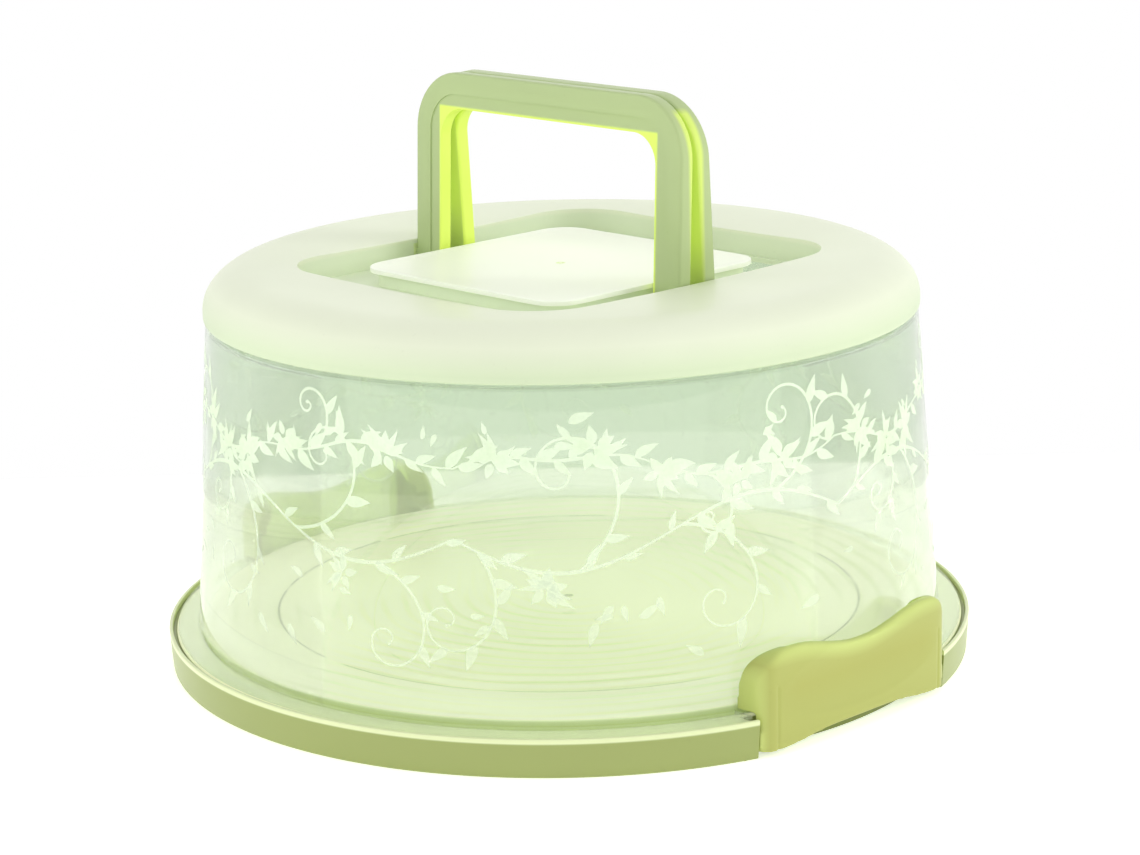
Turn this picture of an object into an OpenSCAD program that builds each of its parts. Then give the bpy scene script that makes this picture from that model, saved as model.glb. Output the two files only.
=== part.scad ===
// Round cake carrier. A tray carries a clear dome, two hinged clips shut over the dome's foot,
// and twin handles on the dome's cap stand together or fold flat into a well.
// Millimetres. Z is up, the tray rests on z = 0 around the origin, and the clips lie along X.

/* [Tray] */
// Outer diameter of the tray at its rim
tray_d = 300; // [260:1:360]
// How far the skirt draws in from the rim to its foot
foot_inset = 1; // [0:0.1:3]
// Height of the rim above the table
rim_h = 14; // [13:0.5:20]
// Wall of the skirt
skirt_wall = 2.2; // [1.5:0.1:3]
// Width of the upright lip at the rim
lip_w = 1.5; // [1:0.1:2.5]
// Width of the drain groove inside the lip
groove_w = 1.4; // [1:0.1:3]
// Depth of the drain groove below the dome's seat
groove_drop = 1.2; // [0.5:0.1:1.5]
// Drop from the rim to the seat of the dome
seat_drop = 1.3; // [0.5:0.1:3]
// Height of the cake plate above the dome's seat
plate_rise = 3.7; // [2:0.1:8]
// Wall of the cake plate and of the seat
plate_wall = 2.4; // [1.5:0.1:3]
// Diameter of the ring mark on the cake plate
ring_mark_d = 219; // [150:1:240]
// Width of the foot ring and of the ribs under the plate
rib_w = 1.8; // [1.2:0.1:3]
// Number of ribs under the plate
rib_count = 12; // [4:2:24]

/* [Dome] */
// Height of the dome's wall, from its foot to its shoulder
dome_h = 116.8; // [90:0.1:150]
// Wall of the dome
dome_wall = 1.6; // [1.2:0.1:3]
// Draft of the wall, in degrees
dome_draft = 4.05; // [1:0.05:6]
// Width of the foot flange outside the wall
flange_w = 7.7; // [5:0.1:12]
// Thickness of the foot flange
flange_t = 2; // [1.5:0.1:2.5]
// Step from the shoulder in to the collar under the cap
collar_step = 3; // [2:0.1:6]
// Height of the collar
collar_h = 3.5; // [3:0.1:4.5]

/* [Cap] */
// Wall of the cap
cap_wall = 2.2; // [1.6:0.1:3]
// How far the cap stands proud of the dome's wall
cap_proud = 0.8; // [0.3:0.1:1.5]
// Straight height of the cap's edge
cap_edge_h = 3; // [1:0.1:6]
// Width of the rounded shoulder
shoulder_w = 19; // [14:0.5:26]
// Height of the rounded shoulder
shoulder_h = 15; // [14.5:0.5:18]
// How far the top sinks from the shoulder to the middle
top_sink = 1.5; // [0:0.1:2]
// Room between a handle and the well's wall at each end of the handle
well_gap_x = 1; // [0.6:0.1:3]
// Room between a folded handle and the well's wall
well_gap_y = 2.8; // [1:0.1:4]
// Corner radius of the well
well_r = 24; // [10:0.5:24]
// Depth of the well's floor below the middle of the cap's top
well_depth = 8.4; // [7:0.1:8.6]
// Wall of the well and of its floor
well_wall = 1.8; // [1.4:0.1:2.2]
// Distance from the ends of a finger recess to those of the panel's skirt
recess_inset = 7; // [4:0.5:20]
// Floor left on either side of a finger recess
recess_ledge = 2.15; // [1.5:0.05:5]

/* [Panel] */
// Room between the panel and the legs of a folded handle
panel_gap_x = 3; // [1:0.5:6]
// Room between the panel and the bar of a folded handle
panel_gap_y = 10; // [6:0.5:14]
// Corner radius of the panel
panel_r = 12; // [6:0.5:20]
// Thickness of the panel
panel_t = 1.6; // [1.2:0.1:2.5]
// Depth of the panel's top below the cap's top
panel_drop = 1.6; // [0.5:0.1:2.5]
// How far the panel overhangs its skirt
panel_overhang = 3; // [1:0.1:5]

/* [Handles] */
// Outer width of a handle
handle_w = 139; // [125:0.5:150]
// Width of a handle's bar
bar_w = 13.5; // [9:0.1:15]
// Thickness of a handle's bar
bar_t = 6; // [4:0.1:6.4]
// Reach from the pivot to the top of a handle
handle_reach = 70; // [55:0.5:78]
// Outer corner radius of a handle
handle_r = 22; // [16:0.5:26]
// Inner corner radius of a handle
handle_inner_r = 11; // [4:0.5:14]
// Distance between the two pivots
pivot_gap = 13; // [12:0.2:14]
// Width of the raised band along a handle's outer edge
band_w = 8; // [5:0.1:9]
// Depth of the step inside the raised band
band_step = 0.6; // [0.2:0.1:1]
// Diameter of a handle's pins
handle_pin_d = 4.6; // [3:0.1:5]
// Length of a handle's pins
handle_pin_l = 3.6; // [2:0.1:4]

/* [Clips] */
// Width of a clip
clip_w = 96; // [70:1:110]
// Height of a clip's two lobes above the table
clip_h = 37.5; // [32:0.5:45]
// Drop of the clip's top edge between the lobes
clip_dip = 5.5; // [2:0.5:10]
// Height of a clip's end tabs above the table
tab_z = 2; // [1:0.1:2.5]
// Height of the clip's lower edge in the middle
clip_low_z = 4.5; // [3:0.1:7]
// Radius of the clip's gently bowed front
clip_bow_r = 600; // [400:10:1500]
// Distance from the tray's rim in to the middle of the clip's front
clip_inset = 4; // [2:0.1:5]
// Wall of a clip
clip_wall = 3; // [2:0.1:4]
// Thickness of a clip's end cheeks
cheek_t = 2.5; // [1.8:0.1:3.5]
// Radius of the cheeks' rounded shoulder
cheek_r = 14; // [8:0.5:16]
// Depth of the finger recess in a clip's front
grip_depth = 1.4; // [0.5:0.1:1.6]
// Height of a clip's hinge above the table
clip_hinge_z = 6.5; // [5.5:0.1:7]
// Diameter of a clip's hinge pins
clip_pin_d = 2.6; // [2:0.1:3]
// Length of a clip's hinge pins past its cheeks
clip_pin_l = 2.3; // [1.5:0.1:2.5]

/* [Screws] */
// Distance from the screws that hold the cap to the sides of the panel's skirt
screw_inset = 12; // [8:0.5:20]
// Shank diameter of a screw
screw_d = 2.6; // [2:0.1:3]
// Head diameter of a screw
screw_head_d = 5.6; // [4:0.1:7]
// Head height of a screw
screw_head_h = 1.8; // [1:0.1:2.4]

/* [Fits] */
// Running clearance round a pin, on the radius
pin_clear = 0.05; // [0.01:0.01:0.1]
// Gap between parts that are lifted apart by hand
loose_gap = 0.6; // [0.3:0.1:1]
// Gap beside and between parts that turn past each other
swing_gap = 0.5; // [0.2:0.1:1]
// Gap between the handles at their tops, where they lean together
lean_gap = 0.3; // [0.2:0.1:0.6]
// Gap between a handle and the well's floor
handle_floor_gap = 0.3; // [0.2:0.1:0.6]
// Gap between the dome's foot flange and the clip's locking rib
snap_gap = 0.1; // [0.05:0.05:0.3]
// Reach of the clip's locking rib over the foot flange's edge line
snap_rib = 0.8; // [0.3:0.1:1]

/* [Hidden] */
$fn = 96;
past = 1; // how far a cut runs past a face
weld = 0.2; // how far a rib or wall runs into what it joins
arc_steps = 12; // straight steps in a profile's arc

tray_lime = [0.72, 0.80, 0.46];
cap_pale = [0.92, 0.96, 0.84];
handle_lime = [0.70, 0.79, 0.50];
clip_lime = [0.76, 0.81, 0.48];
dome_clear = [0.90, 0.96, 0.94, 0.45];
screw_steel = [0.72, 0.73, 0.74];

// tray, from the rim inwards
tray_r = tray_d / 2;
foot_r = tray_r - foot_inset;
lip_r = tray_r - lip_w;
groove_r = lip_r - groove_w;
seat_z = rim_h - seat_drop;
plate_z = seat_z + plate_rise;
under_z = plate_z - plate_wall;
plate_draft = 0.3;
rib_foot_z = 2;

// dome, seated inside the groove
flange_r = groove_r - loose_gap;
dome_r = flange_r - flange_w;
flange_z = seat_z + flange_t;
dome_top_z = seat_z + dome_h;
dome_top_r = dome_r - dome_h * tan(dome_draft);
collar_r = dome_top_r - collar_step;
collar_z = dome_top_z + collar_h;
plate_r = dome_r - dome_wall - loose_gap;

// cap, on the dome's shoulder
cap_r = dome_top_r + cap_proud;
shoulder_z = dome_top_z + cap_edge_h;
crown_z = shoulder_z + shoulder_h;
cap_top_z = crown_z - top_sink;
well_x = handle_w + 2 * well_gap_x;
well_y = pivot_gap + 2 * (handle_reach + well_gap_y);
well_floor_z = cap_top_z - well_depth;
well_under_z = well_floor_z - well_wall;

// panel, between the legs and bars of the folded handles
panel_x = handle_w - 2 * (bar_w + panel_gap_x);
panel_y = pivot_gap + 2 * (handle_reach - bar_w - panel_gap_y);
panel_z = cap_top_z - panel_drop;
skirt_x = panel_x - 2 * panel_overhang;
skirt_y = panel_y - 2 * panel_overhang;
skirt_r = panel_r - panel_overhang;
recess_x = skirt_x - 2 * recess_inset;
recess_y = (well_y - skirt_y) / 2 - 2 * recess_ledge;
recess_mid_y = (skirt_y + well_y) / 4;
recess_r = 6;
slot_x = 10;
slot_y = 2;
tab_gap = 0.3;

// handles, which lean together until their tops are lean_gap apart
pivot_y = pivot_gap / 2;
pivot_z = well_floor_z + bar_t / 2 + handle_floor_gap;
lean = asin((pivot_y - bar_t / 2 - lean_gap / 2) / handle_reach);
pin_pad_wall = 2;
pin_pad_d = handle_pin_d + 2 * pin_pad_wall;
pin_pad_t = 2.4;

// clips, which close over the seat
front_x = tray_r - clip_inset;
bow_x = front_x - clip_bow_r;
back_bow_r = clip_bow_r - clip_wall;
flange_bow_r = back_bow_r - snap_rib - snap_gap;
half_clip = clip_w / 2;
notch_y = half_clip + swing_gap;
socket_y = half_clip + clip_pin_l;
hinge_wall = 1;
swing_in = 2.6; // how far the foot of a clip's middle swings in as the clip opens
hinge_x = sqrt(pow(foot_r, 2) - pow(socket_y, 2)) - clip_pin_d / 2 - hinge_wall;
ear_r = 2.7;
ear_reach = 4; // from the hinge out to the part of the cheek that carries the ear
cheek_foot_x = hinge_x + 1;
cheek_round_x = front_x - 1;
block_t = 5;
back_wall_r = front_x - clip_wall - swing_in;
back_wall_t = 2;
cheek_z = flange_z + loose_gap;
cheek_bore_r = dome_r + loose_gap;
corner_r = 12;
lobe_y = half_clip - corner_r;
slot_in_y = lobe_y - swing_gap;
tab_w = 6;
ramp_w = 30;
grip_w = clip_w - corner_r;
grip_r = 60;
grip_z = 21;
rib_len = 44;
rib_h = 2.4;

// screws, under the panel
boss_r = screw_head_d / 2 + 1;
screw_tip_gap = 0.4;
screw_end_z = collar_z + screw_tip_gap;
recess_cut_l = 3;
recess_cut_w = 0.7;
recess_cut_h = 0.6;
screw_hole_d = screw_d + 2 * pin_clear;

// ---- shared shapes ----

module rounded_plate(x, y, r, h) {
    linear_extrude(h) {
        square([x - 2 * r, y], center = true);
        square([x, y - 2 * r], center = true);
        for (sx = [-1, 1], sy = [-1, 1]) translate([sx * (x / 2 - r), sy * (y / 2 - r)]) circle(r);
    }
}

module block(x0, x1, y0, y1, z0, z1) {
    translate([x0, y0, z0]) cube([x1 - x0, y1 - y0, z1 - z0]);
}

// the places of the screws, above the corners of the panel's skirt
module at_screws() {
    for (sx = [-1, 1], sy = [-1, 1])
        translate([sx * (skirt_x / 2 - screw_inset), sy * (skirt_y / 2 - screw_inset), 0]) children();
}

// a bar along Y through (x, z), centred on y = 0
module y_bar(x, z, r, length) {
    translate([x, 0, z]) rotate([90, 0, 0]) cylinder(r = r, h = length, center = true);
}

// the upright cylinder that gives the clip's front, back and lips their bow
module bow(r) {
    translate([bow_x, 0, -past]) cylinder(r = r, h = clip_h + 2 * past, $fn = 256);
}

// ---- tray ----

module tray_section() {
    polygon([
        [foot_r - skirt_wall, 0], [foot_r, 0], [tray_r, rim_h], [lip_r, rim_h],
        [lip_r, seat_z - groove_drop], [groove_r, seat_z - groove_drop], [groove_r, seat_z],
        [plate_r + plate_draft, seat_z], [plate_r, plate_z], [0, plate_z], [0, under_z],
        [plate_r - plate_wall, under_z], [plate_r - plate_wall, seat_z - plate_wall],
        [foot_r - skirt_wall, seat_z - groove_drop - plate_wall]
    ]);
}

module tray_envelope() {
    cylinder(r1 = foot_r, r2 = tray_r, h = rim_h);
}

module tray_ribs() {
    rotate_extrude() translate([ring_mark_d / 2 - rib_w, 0]) square([rib_w, under_z + weld]);
    inner = ring_mark_d / 2 - rib_w / 2;
    length = back_wall_r - back_wall_t / 2 - inner;
    for (i = [0:rib_count - 1]) rotate(360 / rib_count * i) translate([inner, -rib_w / 2, rib_foot_z])
        cube([length, rib_w, seat_z - plate_wall - rib_foot_z + weld]);
}

// walls that close the skirt round a clip's notch, with a block for each hinge pin
module notch_walls() {
    intersection() {
        tray_envelope();
        union() {
            difference() {
                block(0, tray_r, -notch_y - block_t, notch_y + block_t, 0, seat_z - groove_drop);
                translate([0, 0, -past]) cylinder(r = back_wall_r - back_wall_t, h = rim_h + 2 * past);
                block(0, tray_r, -notch_y, notch_y, -past, rim_h);
            }
            difference() {
                cylinder(r = back_wall_r, h = seat_z - plate_wall + weld);
                translate([0, 0, -past]) cylinder(r = back_wall_r - back_wall_t, h = rim_h + 2 * past);
                block(-tray_r, 0, -tray_r, tray_r, -past, rim_h);
                for (s = [-1, 1]) translate([0, s * (notch_y + block_t / 2 + tray_r), 0])
                    cube([2 * tray_r, 2 * tray_r, 2 * rim_h], center = true);
            }
        }
    }
}

module notch_cut() {
    difference() {
        block(0, tray_r + past, -notch_y, notch_y, -past, rim_h + past);
        translate([0, 0, -2 * past]) cylinder(r = back_wall_r, h = rim_h + 4 * past);
    }
}

module base_tray() {
    color(tray_lime) difference() {
        union() {
            difference() {
                union() {
                    rotate_extrude($fn = 180) tray_section();
                    tray_ribs();
                }
                for (a = [0, 180]) rotate(a) notch_cut();
            }
            for (a = [0, 180]) rotate(a) notch_walls();
        }
        for (a = [0, 180]) rotate(a)
            y_bar(hinge_x, clip_hinge_z, clip_pin_d / 2 + pin_clear, 2 * (socket_y + swing_gap / 2));
    }
}

// ---- dome ----

module dome_section() {
    polygon([
        [dome_r - dome_wall, seat_z], [flange_r, seat_z], [flange_r, flange_z],
        [dome_r - flange_t * tan(dome_draft), flange_z], [dome_top_r, dome_top_z],
        [collar_r, dome_top_z], [collar_r, collar_z], [0, collar_z],
        [0, collar_z - dome_wall], [collar_r - dome_wall, collar_z - dome_wall],
        [collar_r - dome_wall, dome_top_z - dome_wall], [dome_top_r - dome_wall, dome_top_z - dome_wall]
    ]);
}

// the foot flange is trimmed under a clip's locking rib and slotted for its two ends
module flange_cut() {
    difference() {
        block(0, tray_r, -notch_y, notch_y, seat_z - past, flange_z + past);
        bow(flange_bow_r);
    }
    for (s = [-1, 1]) difference() {
        block(0, tray_r, min(s * slot_in_y, s * notch_y), max(s * slot_in_y, s * notch_y),
              seat_z - past, flange_z + past);
        cylinder(r = dome_r + snap_gap, h = flange_z + 2 * past);
    }
}

module dome_cover() {
    color(dome_clear) difference() {
        union() {
            rotate_extrude($fn = 180) dome_section();
            at_screws() translate([0, 0, collar_z - dome_wall / 2])
                cylinder(r = boss_r, h = well_under_z - collar_z + dome_wall / 2);
        }
        for (a = [0, 180]) rotate(a) flange_cut();
        at_screws() translate([0, 0, screw_end_z - screw_tip_gap])
            cylinder(d = screw_hole_d, h = well_under_z - screw_end_z + screw_tip_gap + past);
    }
}

// ---- cap ----

// quarter ellipse of the shoulder, from its outer edge up to the crown, drawn in by inset
function shoulder(inset) = [for (i = [0:arc_steps]) let (a = 90 * i / arc_steps)
    [cap_r - shoulder_w + (shoulder_w - inset) * cos(a), shoulder_z + (shoulder_h - inset) * sin(a)]];

function reversed(list) = [for (i = [len(list) - 1:-1:0]) list[i]];

module cap_section() {
    polygon(concat(
        [[collar_r + loose_gap / 2, dome_top_z], [cap_r, dome_top_z]],
        shoulder(0),
        [[well_x / 2, cap_top_z], [0, cap_top_z], [0, cap_top_z - cap_wall],
         [well_x / 2, cap_top_z - cap_wall]],
        reversed(shoulder(cap_wall)),
        [[cap_r - cap_wall, collar_z], [collar_r + loose_gap / 2, collar_z]]
    ));
}

module cap_envelope() {
    rotate_extrude($fn = 180) polygon(concat([[0, dome_top_z], [cap_r, dome_top_z]], shoulder(0),
        [[well_x / 2, cap_top_z], [0, cap_top_z]]));
}

module well_tub() {
    intersection() {
        cap_envelope();
        difference() {
            translate([0, 0, well_under_z])
                rounded_plate(well_x + 2 * well_wall, well_y + 2 * well_wall, well_r + well_wall, crown_z);
            translate([0, 0, well_floor_z]) rounded_plate(well_x, well_y, well_r, crown_z);
        }
    }
    for (s = [-1, 1]) translate([s * (well_x / 2 + well_wall + pin_pad_t / 2 - weld), 0, pivot_z])
        cube([pin_pad_t, pivot_gap + pin_pad_d, pin_pad_d], center = true);
}

module top_cap() {
    color(cap_pale) difference() {
        union() {
            difference() {
                rotate_extrude($fn = 180) cap_section();
                translate([0, 0, well_floor_z]) rounded_plate(well_x, well_y, well_r, crown_z);
            }
            well_tub();
        }
        for (s = [-1, 1]) translate([0, s * recess_mid_y, (well_under_z + well_floor_z) / 2])
            translate([0, 0, -well_wall]) rounded_plate(recess_x, recess_y, recess_r, 2 * well_wall);
        for (sy = [-1, 1]) translate([0, sy * pivot_y, pivot_z]) rotate([0, 90, 0])
            cylinder(r = handle_pin_d / 2 + pin_clear, h = handle_w + 2 * handle_pin_l + swing_gap,
                     center = true);
        at_screws() translate([0, 0, well_under_z - past])
            cylinder(d = screw_hole_d, h = well_wall + 2 * past);
        for (s = [-1, 1]) translate([s * (skirt_x - well_wall) / 2, 0, well_floor_z])
            cube([slot_y + tab_gap, slot_x + tab_gap, 4 * well_wall], center = true);
    }
}

// ---- panel ----

module handle_panel() {
    color(cap_pale) {
        translate([0, 0, panel_z - panel_t]) rounded_plate(panel_x, panel_y, panel_r, panel_t);
        difference() {
            translate([0, 0, well_floor_z])
                rounded_plate(skirt_x, skirt_y, skirt_r, panel_z - panel_t - well_floor_z);
            translate([0, 0, well_floor_z - past])
                rounded_plate(skirt_x - 2 * well_wall, skirt_y - 2 * well_wall,
                              skirt_r - well_wall, panel_z - panel_t - well_floor_z + past);
        }
        for (s = [-1, 1]) translate([s * (skirt_x - well_wall) / 2, 0, well_floor_z])
            cube([slot_y - tab_gap, slot_x - tab_gap, 2 * well_wall], center = true);
    }
}

// ---- screws ----

module cap_screws() {
    color(screw_steel) at_screws() {
        translate([0, 0, screw_end_z]) cylinder(d = screw_d, h = well_floor_z - screw_end_z);
        difference() {
            translate([0, 0, well_floor_z]) cylinder(d = screw_head_d, h = screw_head_h);
            for (a = [0, 90]) translate([0, 0, well_floor_z + screw_head_h]) rotate(a)
                cube([recess_cut_l, recess_cut_w, 2 * recess_cut_h], center = true);
        }
    }
}

// ---- handles ----

// the arch of a handle, from its pivot line at z = 0 up, drawn in by inset on its outer side
module arch(inset, width) {
    outer_x = handle_w / 2 - inset;
    outer_r = handle_r - inset;
    inner_x = outer_x - width;
    inner_r = min(handle_inner_r, outer_r);
    top = handle_reach - inset;
    difference() {
        union() {
            square_from(-outer_x, outer_x, 0, top - outer_r);
            square_from(-outer_x + outer_r, outer_x - outer_r, 0, top);
            for (s = [-1, 1]) translate([s * (outer_x - outer_r), top - outer_r]) circle(outer_r);
        }
        square_from(-inner_x, inner_x, -past, top - width - inner_r);
        square_from(-inner_x + inner_r, inner_x - inner_r, -past, top - width);
        for (s = [-1, 1]) translate([s * (inner_x - inner_r), top - width - inner_r]) circle(inner_r);
    }
}

module square_from(x0, x1, y0, y1) {
    translate([x0, y0]) square([x1 - x0, y1 - y0]);
}

// a handle that stands upright on its pivot line, with its outer face towards -Y
module handle() {
    difference() {
        rotate([90, 0, 0]) linear_extrude(bar_t, center = true) arch(0, bar_w);
        translate([0, -bar_t / 2, 0]) rotate([90, 0, 0])
            linear_extrude(2 * band_step, center = true) arch(band_w, bar_w);
    }
    for (s = [-1, 1]) {
        translate([s * (handle_w - bar_w) / 2, 0, 0]) rotate([0, 90, 0])
            cylinder(d = bar_t, h = bar_w, center = true);
        translate([s * (handle_w / 2 + handle_pin_l / 2 - past / 2), 0, 0]) rotate([0, 90, 0])
            cylinder(d = handle_pin_d, h = handle_pin_l + past, center = true);
    }
}

module placed_handle() {
    translate([0, -pivot_y, pivot_z]) rotate([-lean, 0, 0]) handle();
}

module front_handle() {
    color(handle_lime) placed_handle();
}

module rear_handle() {
    color(handle_lime) rotate(180) placed_handle();
}

// ---- clips ----

// height of the clip's wavy top edge at a place y along it
function clip_top(y) = clip_h - clip_dip * pow(cos(min(90, abs(y) / lobe_y * 90)), 2);

// height of the clip's lower edge: two end tabs, and a gentle arch between them
function ramp(y) = min(1, max(0, (half_clip - tab_w - abs(y)) / ramp_w));
function clip_bottom(y) = tab_z + (clip_low_z - tab_z) * (1 - cos(180 * ramp(y))) / 2;

// front view of a clip: y across, height up
module clip_face() {
    polygon(concat(
        [for (i = [0:24]) let (y = -half_clip + clip_w * i / 24) [y, clip_bottom(y)]],
        [for (i = [0:arc_steps / 2]) let (a = 90 * i / (arc_steps / 2))
            [lobe_y + corner_r * cos(a), clip_h - corner_r + corner_r * sin(a)]],
        [for (i = [1:23]) let (y = lobe_y - 2 * lobe_y * i / 24) [y, clip_top(y)]],
        [for (i = [0:arc_steps / 2]) let (a = 90 + 90 * i / (arc_steps / 2))
            [-lobe_y + corner_r * cos(a), clip_h - corner_r + corner_r * sin(a)]]
    ));
}

// end view of a clip: x across, height up, with a quarter round that falls to the dome
module cheek_face() {
    square_from(cheek_foot_x, tray_r, 0, cheek_z + past);
    translate([cheek_round_x, clip_h - cheek_r]) circle(cheek_r);
    square_from(cheek_round_x - cheek_r, front_x, cheek_z, clip_h - cheek_r);
    square_from(cheek_round_x, tray_r, cheek_z, clip_h);
}

// the room inside a clip's end, open below and towards the dome
module end_room() {
    intersection() {
        bow(back_bow_r);
        translate([0, half_clip, 0]) rotate([90, 0, 0]) linear_extrude(corner_r + past) {
            translate([cheek_round_x, clip_h - cheek_r]) circle(cheek_r - cheek_t);
            square_from(0, tray_r, -past, clip_h - cheek_r);
            square_from(cheek_round_x, tray_r, 0, clip_h - cheek_t);
        }
        rotate([90, 0, 90]) linear_extrude(tray_r) {
            translate([lobe_y, clip_h - corner_r]) circle(corner_r - cheek_t);
            square_from(0, half_clip - cheek_t, -past, clip_h - corner_r);
            square_from(0, lobe_y, 0, clip_h - cheek_t);
        }
    }
}

// an end of a clip: a cheek and the roof that rounds over from it
module clip_end() {
    difference() {
        translate([0, half_clip, 0]) rotate([90, 0, 0]) linear_extrude(corner_r) cheek_face();
        end_room();
        translate([0, 0, -past]) cylinder(r = cheek_bore_r, h = clip_h + 2 * past);
    }
}

// the foot of a cheek, with its ear and its hinge pin
module clip_hinge() {
    y_mid = half_clip - cheek_t / 2;
    translate([hinge_x, y_mid, clip_hinge_z]) rotate([90, 0, 0])
        cylinder(r = ear_r, h = cheek_t, center = true);
    translate([hinge_x, y_mid - cheek_t / 2, clip_hinge_z - ear_r]) cube([ear_reach, cheek_t, 2 * ear_r]);
    translate([hinge_x, half_clip + clip_pin_l / 2 - past / 2, clip_hinge_z]) rotate([90, 0, 0])
        cylinder(d = clip_pin_d, h = clip_pin_l + past, center = true);
}

module locking_rib() {
    intersection() {
        difference() {
            bow(back_bow_r + past);
            bow(back_bow_r - snap_rib);
        }
        block(0, tray_r, -rib_len / 2, rib_len / 2, cheek_z, cheek_z + rib_h);
    }
}

module clip() {
    difference() {
        union() {
            intersection() {
                bow(clip_bow_r);
                rotate([90, 0, 90]) linear_extrude(tray_r) clip_face();
                union() {
                    difference() {
                        block(hinge_x, tray_r, -half_clip, half_clip, 0, clip_h);
                        bow(back_bow_r);
                    }
                    for (m = [0, 1]) mirror([0, m, 0]) clip_end();
                    locking_rib();
                }
            }
            for (m = [0, 1]) mirror([0, m, 0]) clip_hinge();
        }
        intersection() {
            y_bar(front_x + grip_r - grip_depth, grip_z, grip_r, grip_w);
            block(0, tray_r, -grip_w / 2, grip_w / 2, 0, clip_h);
        }
    }
}

module right_clip() {
    color(clip_lime) clip();
}

module left_clip() {
    color(clip_lime) rotate(180) clip();
}

base_tray();
dome_cover();
top_cap();
handle_panel();
cap_screws();
front_handle();
rear_handle();
right_clip();
left_clip();
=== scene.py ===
"""Looks of a round cake carrier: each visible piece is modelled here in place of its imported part,
gets a procedural finish, and stands on a white table. Lengths are metres, mostly written as
millimetres times MM."""

import math
import random

import bmesh
import bpy
from bpy.props import FloatProperty, FloatVectorProperty, IntProperty, PointerProperty
from mathutils import Euler, Matrix, Vector


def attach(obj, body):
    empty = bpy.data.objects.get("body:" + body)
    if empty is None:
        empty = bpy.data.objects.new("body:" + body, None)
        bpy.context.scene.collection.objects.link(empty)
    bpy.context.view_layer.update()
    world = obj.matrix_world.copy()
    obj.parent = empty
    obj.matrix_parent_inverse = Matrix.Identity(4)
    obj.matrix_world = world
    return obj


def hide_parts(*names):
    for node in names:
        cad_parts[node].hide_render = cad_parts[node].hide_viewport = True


bl_info = {
    "name": "Cake Carrier",
    "version": (1, 0, 0),
    "blender": (4, 5, 0),
    "location": "3D View > Sidebar > Carrier",
    "description": "Builds the visible pieces of a round cake carrier around its packed parts",
    "category": "Add Mesh",
}

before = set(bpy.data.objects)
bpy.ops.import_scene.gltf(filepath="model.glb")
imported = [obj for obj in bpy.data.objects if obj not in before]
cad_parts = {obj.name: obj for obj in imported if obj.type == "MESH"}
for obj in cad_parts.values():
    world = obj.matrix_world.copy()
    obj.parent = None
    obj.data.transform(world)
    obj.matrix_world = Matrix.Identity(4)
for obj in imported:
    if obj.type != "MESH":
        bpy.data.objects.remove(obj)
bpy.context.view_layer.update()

MM = 0.001
ROUND = 256   # steps of a large round body
TALL = 0.1    # length of a tool that cuts from below the table to above the rim


# ---- settings ----

def length(name, description, millimetres):
    """A length property whose default is given in millimetres."""
    return FloatProperty(name=name, description=description, default=millimetres * MM, unit="LENGTH",
                         precision=5)


def number(name, description, value):
    """A plain number property."""
    return FloatProperty(name=name, description=description, default=value, precision=4)


def linear(level):
    """The linear value of an 8-bit display level."""
    level /= 255
    return level / 12.92 if level <= 0.04045 else ((level + 0.055) / 1.055) ** 2.4


def tint(name, description, red, green, blue):
    """A colour property whose default is given in 8-bit display levels."""
    return FloatVectorProperty(name=name, description=description, subtype="COLOR", size=3, min=0, max=1,
                               default=(linear(red), linear(green), linear(blue)))


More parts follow.
